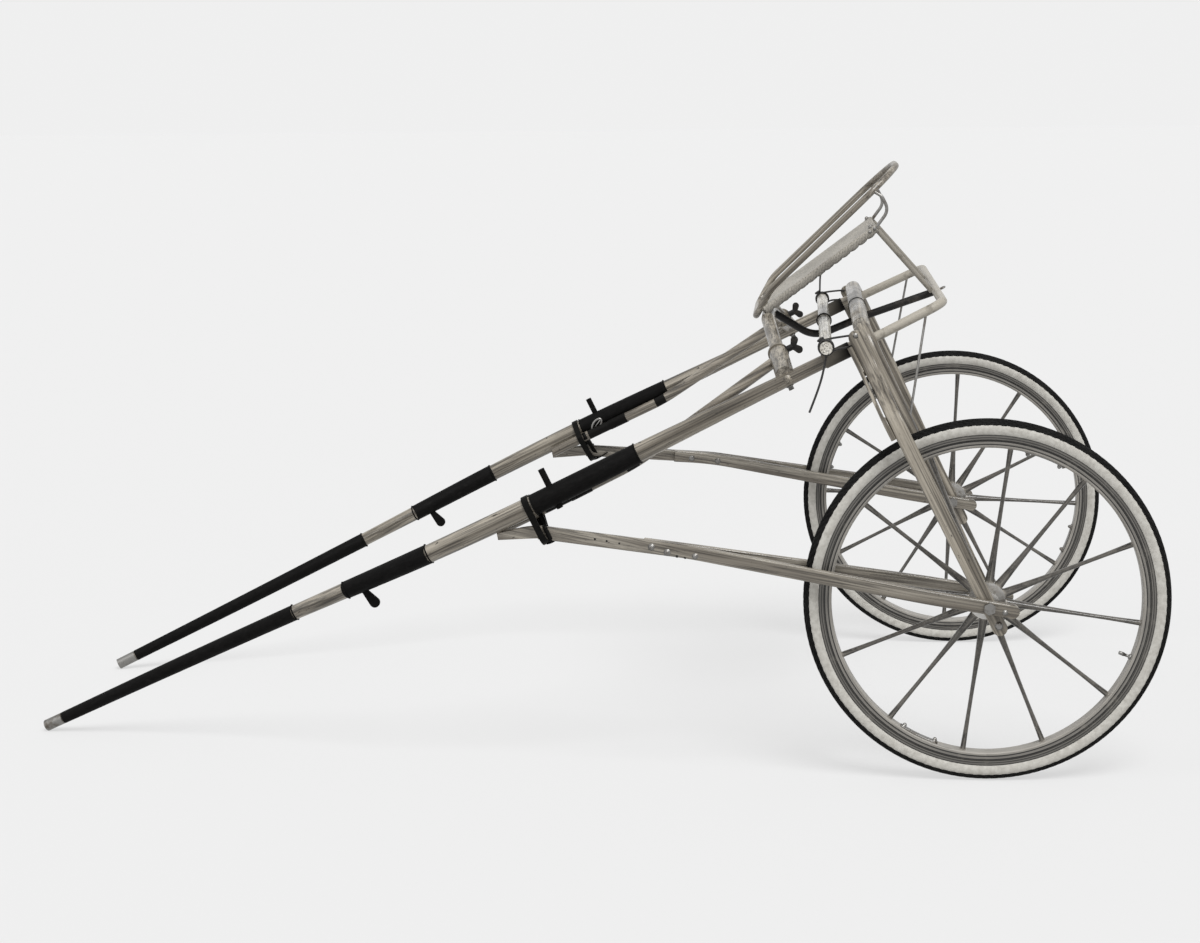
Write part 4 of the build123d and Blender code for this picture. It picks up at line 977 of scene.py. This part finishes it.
# %% Bolts and nails
BOLTS = (
    ("stay", 541, 376, 5.2, 3.6, 0),
    ("stay", 517, 354, 5.2, 3.6, 0),
    ("stay", 470, 325, 4.6, 3.2, 0),
    ("outer_leg", 5, 568, 4.0, 2.2, 0),
    ("stay", -23, -21, 4.0, 3.0, 0),
    ("outer_leg", -1, -42, 6.0, 6.0, 6),
)
INNER_NUTS = ((520, 360), (467, 326))
BOSS = ("shaft", 162, 546, 6.5, 3.0)
BRADS = ((637, 435), (617, 422), (596, 408), (503, 339), (490, 330))
SINK = 0.0003
BRAD_SIZE = (2.3, 0.9)
NUT_SIZE = (5.2, 4.5, 6)
SLEEVE_FOOT = (165, 479, 450)
FOOT_NUT_SIZE = (6.0, 8.5, 6)
FOOT_NUT_SINK = 0.0004
down = (parked(0, 0, 0) - parked(0, 0, 1000)).normalized()


def fasten(mesh, met, radius, height, sides=0):
    """A bolt where a line met a surface, sunk a hair into it; says whether it met one."""
    if met:
        place, facing, _ = met
        bolt(mesh, place - facing * SINK, facing, radius / 1000, height / 1000, sides)
    return bool(met)


def make_bolts():
    """Bolts, brads and the wooden bosses under the sleeves, a mesh of each."""
    bolts, brads, bosses = bmesh.new(), bmesh.new(), bmesh.new()
    fast = []
    for sign in (1, -1):
        side_name = side_of(sign)
        for name, u, w, *size in BOLTS:
            fast.append(fasten(bolts, on_side(side_name + name, u, w, sign), *size))
        for u, w in INNER_NUTS:
            faces = [side_name + "stay", side_name + "inner_stay"]
            met = touch(faces, parked(u, sign * INSIDE_Y, w), Vector((0, sign, 0)))
            fast.append(fasten(bolts, met, *NUT_SIZE))
        name, u, w, *size = BOSS
        fast.append(fasten(bosses, on_side(side_name + name, u, w, sign), *size))
        for u, w in BRADS:
            fast.append(fasten(brads, on_side(side_name + "stay", u, w, sign), *BRAD_SIZE))
        u, y, w = SLEEVE_FOOT
        met = touch([side_name + "shaft"], parked(u, sign * y, w), -down)
        fast.append(bool(met))
        if met:
            radius, height, sides = FOOT_NUT_SIZE
            bolt(bolts, met[0] - down * FOOT_NUT_SINK, down, radius / 1000, height / 1000, sides)
    close_mesh("frame_bolts", bolts, steel, "frame")
    close_mesh("sleeve_bosses", bosses, ash_across, "frame")
    close_mesh("stay_brads", brads, black_iron, "frame")
    print("bolts, nuts, brads and bosses", len(fast), "missed", fast.count(False))


make_bolts()

# %% [markdown]
# ## Rim plates and valves
# Each rim is bent from two lengths of wood. Over each joint a thin metal plate lies on the inside of the
# rim, with a domed nut at either end. A valve stem stands inward from each rim.

# %% Rim plates and valves
WHEEL_FITTINGS = (
    ("left", 1, (206.0, 21.5), 7.6, 112.0),
    ("right", -1, (110.0, 290.0), 6.8, 75.0),
)
PLATE_SIZE = (0.019, 0.0024)
PLATE_NUT_SIZE = (0.0046, 0.0075)
VALVE = (
    (-0.002, 0.0052), (0.004, 0.0052), (0.0041, 0.0030), (0.014, 0.0030), (0.0141, 0.0038), (0.024, 0.0036),
    (0.025, 0.0020),
)


def make_wheel_fittings(side_name, sign, plate_angles, half_span, valve_angle):
    """Plates, nuts and valve of one wheel."""
    mesh = bmesh.new()
    y = sign * WHEEL_Y
    hub = Vector((AXLE.x, y, AXLE.z))
    across = Vector((0, 1, 0))
    probe = radians(plate_angles[0] + half_span * 0.5)
    rim_r = (touch([side_name + "_rim"], hub, wheel_point(y, 1, probe) - hub)[0] - hub).length
    for centre in plate_angles:
        angles = [radians(centre + half_span * (k / 6 - 1)) for k in range(13)]
        strip(mesh, [wheel_point(y, rim_r - 0.0010, a) for a in angles], across, *PLATE_SIZE)
        for a in (angles[1], angles[-2]):
            place = wheel_point(y, rim_r - 0.0020, a)
            bolt(mesh, place, hub - place, *PLATE_NUT_SIZE)
    stem = [wheel_point(y, rim_r - inward, radians(valve_angle)) for inward, _ in VALVE]
    tube(mesh, stem, [radius for _, radius in VALVE], 14)
    close_mesh(side_name + "_rim_fittings", mesh, steel, side_name + "_wheel")
    return rim_r


for row in WHEEL_FITTINGS:
    rim_r = make_wheel_fittings(*row)
print("rim's inner radius", round(rim_r * 1000, 1), "mm")

# %% [markdown]
# ## Straps and buckles
# The strap at the front of each stay has a second, narrower turn behind it and a loose end. An oval
# buckle lies slanting on the inside of each shaft, beside the peg. The wraps are finished with a turn of
# cord at each end.

# %% Straps and buckles
STRAP_PLACE = (719.0, 524, 492)
STRAP_THICK = 0.0024
LOOSE_END = ((0.012, 0), (0.002, -0.002), (-0.014, -0.001), (-0.026, 0.001))
BUCKLE_PLACE = (681, 541)
BUCKLE_SLANT = 0.5
BUCKLE_HALF = (0.016, 0.0085)
SHAFT_W = 545
WRAP_ENDS = (720.0, 493.0, 960.0, 1160.0, 1289.0)


def make_straps(sign):
    """Second turn, loose end, wrap cords and buckle on one side."""
    side_name = side_of(sign)
    leather, cords, metal = bmesh.new(), bmesh.new(), bmesh.new()
    names = [side_name + "stay", side_name + "brace_rail"]
    u, y, w = STRAP_PLACE
    turn_line = wrapped_loop(names, u, sign * y, w, 28, 1.6)
    along = (parked(1, 0, 0) - parked(0, 0, 0)).normalized()
    strip(leather, turn_line + turn_line[:1], along, 0.0085, STRAP_THICK)
    low = min(turn_line, key=lambda point: point.z)
    end = [low + along * ahead + Vector((0, 0, rise)) for ahead, rise in LOOSE_END]
    strip(leather, smooth_line(end, 4), Vector((0, 1, 0)), 0.010, STRAP_THICK)
    for u in WRAP_ENDS:
        names = [side_name + "shaft", side_name + "shaft_wraps"]
        axis = touch([side_name + "shaft"], parked(u, sign * OUTSIDE_Y, SHAFT_W), Vector((0, -sign, 0)))
        middle_y = axis[0].y * 1000 - sign * 18
        ring = wrapped_loop(names, u, middle_y, SHAFT_W, 32, 0.2)
        tube(cords, ring, 0.0016, 8, closed=True)
    met = on_side(side_name + "shaft_wraps", *BUCKLE_PLACE, sign, inside=True)
    if met:
        place, facing, _ = met
        rearward_up = -along * cos(BUCKLE_SLANT) - down * sin(BUCKLE_SLANT)
        short = facing.cross(rearward_up).normalized()
        centre = place + facing * 0.0044
        turns = [2 * pi * k / 24 for k in range(24)]
        long_half, short_half = BUCKLE_HALF
        oval = [centre + rearward_up * long_half * cos(a) + short * short_half * sin(a) for a in turns]
        tube(metal, oval, 0.0028, 10, closed=True)
        tube(metal, [oval[0], oval[12]], 0.0015, 8)
    close_mesh(side_name + "strap_ends", leather, bridle_leather, "frame")
    close_mesh(side_name + "wrap_cords", cords, wound_tape, "frame")
    close_mesh(side_name + "buckle", metal, steel, "frame")


for sign in (1, -1):
    make_straps(sign)
print("straps, cords and buckles on both sides")

# %% [markdown]
# ## Seat fittings
# Under the seat, cord laces one scalloped edge of the canvas to the other. Each board's rear end has
# screws where the bent wire comes down, and a thin cord ring marks the middle of the loose bar.

# %% Seat fittings
RING_R = 15.0


def make_seat_fittings():
    """Lacing, end screws and the ring on the loose bar."""
    lace, screws, ring = bmesh.new(), bmesh.new(), bmesh.new()
    line = []
    crossings = int((board_length - 40) / SCALLOP_PITCH * 2)
    for k in range(crossings):
        s = 24 + SCALLOP_PITCH / 2 * k
        y = (SEAT_HALF + 4.5) * (1 if k % 2 else -1)
        line += [seat_point(s, y, -8.6), seat_point(s + SCALLOP_PITCH / 4, 0, -(DIP + 8.5))]
    tube(lace, smooth_line(line, 5), 0.0012, 6)
    for sign in (1, -1):
        out = Vector((0, sign, 0))
        face = sign * (SEAT_HALF + BOARD_HALF_THICK + 2.6)
        for back, radius in ((7, 0.0030), (19, 0.0026)):
            bolt(screws, seat_point(board_length - back, face, 1.5), out, radius, 0.003)
        up = seat_point(0, 0, 1) - seat_point(0, 0, 0)
        crown = seat_point(board_length - 12, sign * SEAT_HALF, BOARD_HALF_DEPTH + 2.2)
        bolt(screws, crown, up, 0.0046, 0.006)
    angles = [2 * pi * k / 32 for k in range(32)]
    circle = [parked(BAR_U + RING_R * cos(a), 0, BAR_W + RING_R * sin(a)) for a in angles]
    tube(ring, circle, 0.0019, 8, closed=True)
    close_mesh("seat_lacing", lace, black_cord, "frame")
    close_mesh("seat_end_screws", screws, steel, "frame")
    close_mesh("loose_bar_ring", ring, black_cord, "frame")
    return crossings


print("lace crossings", make_seat_fittings())
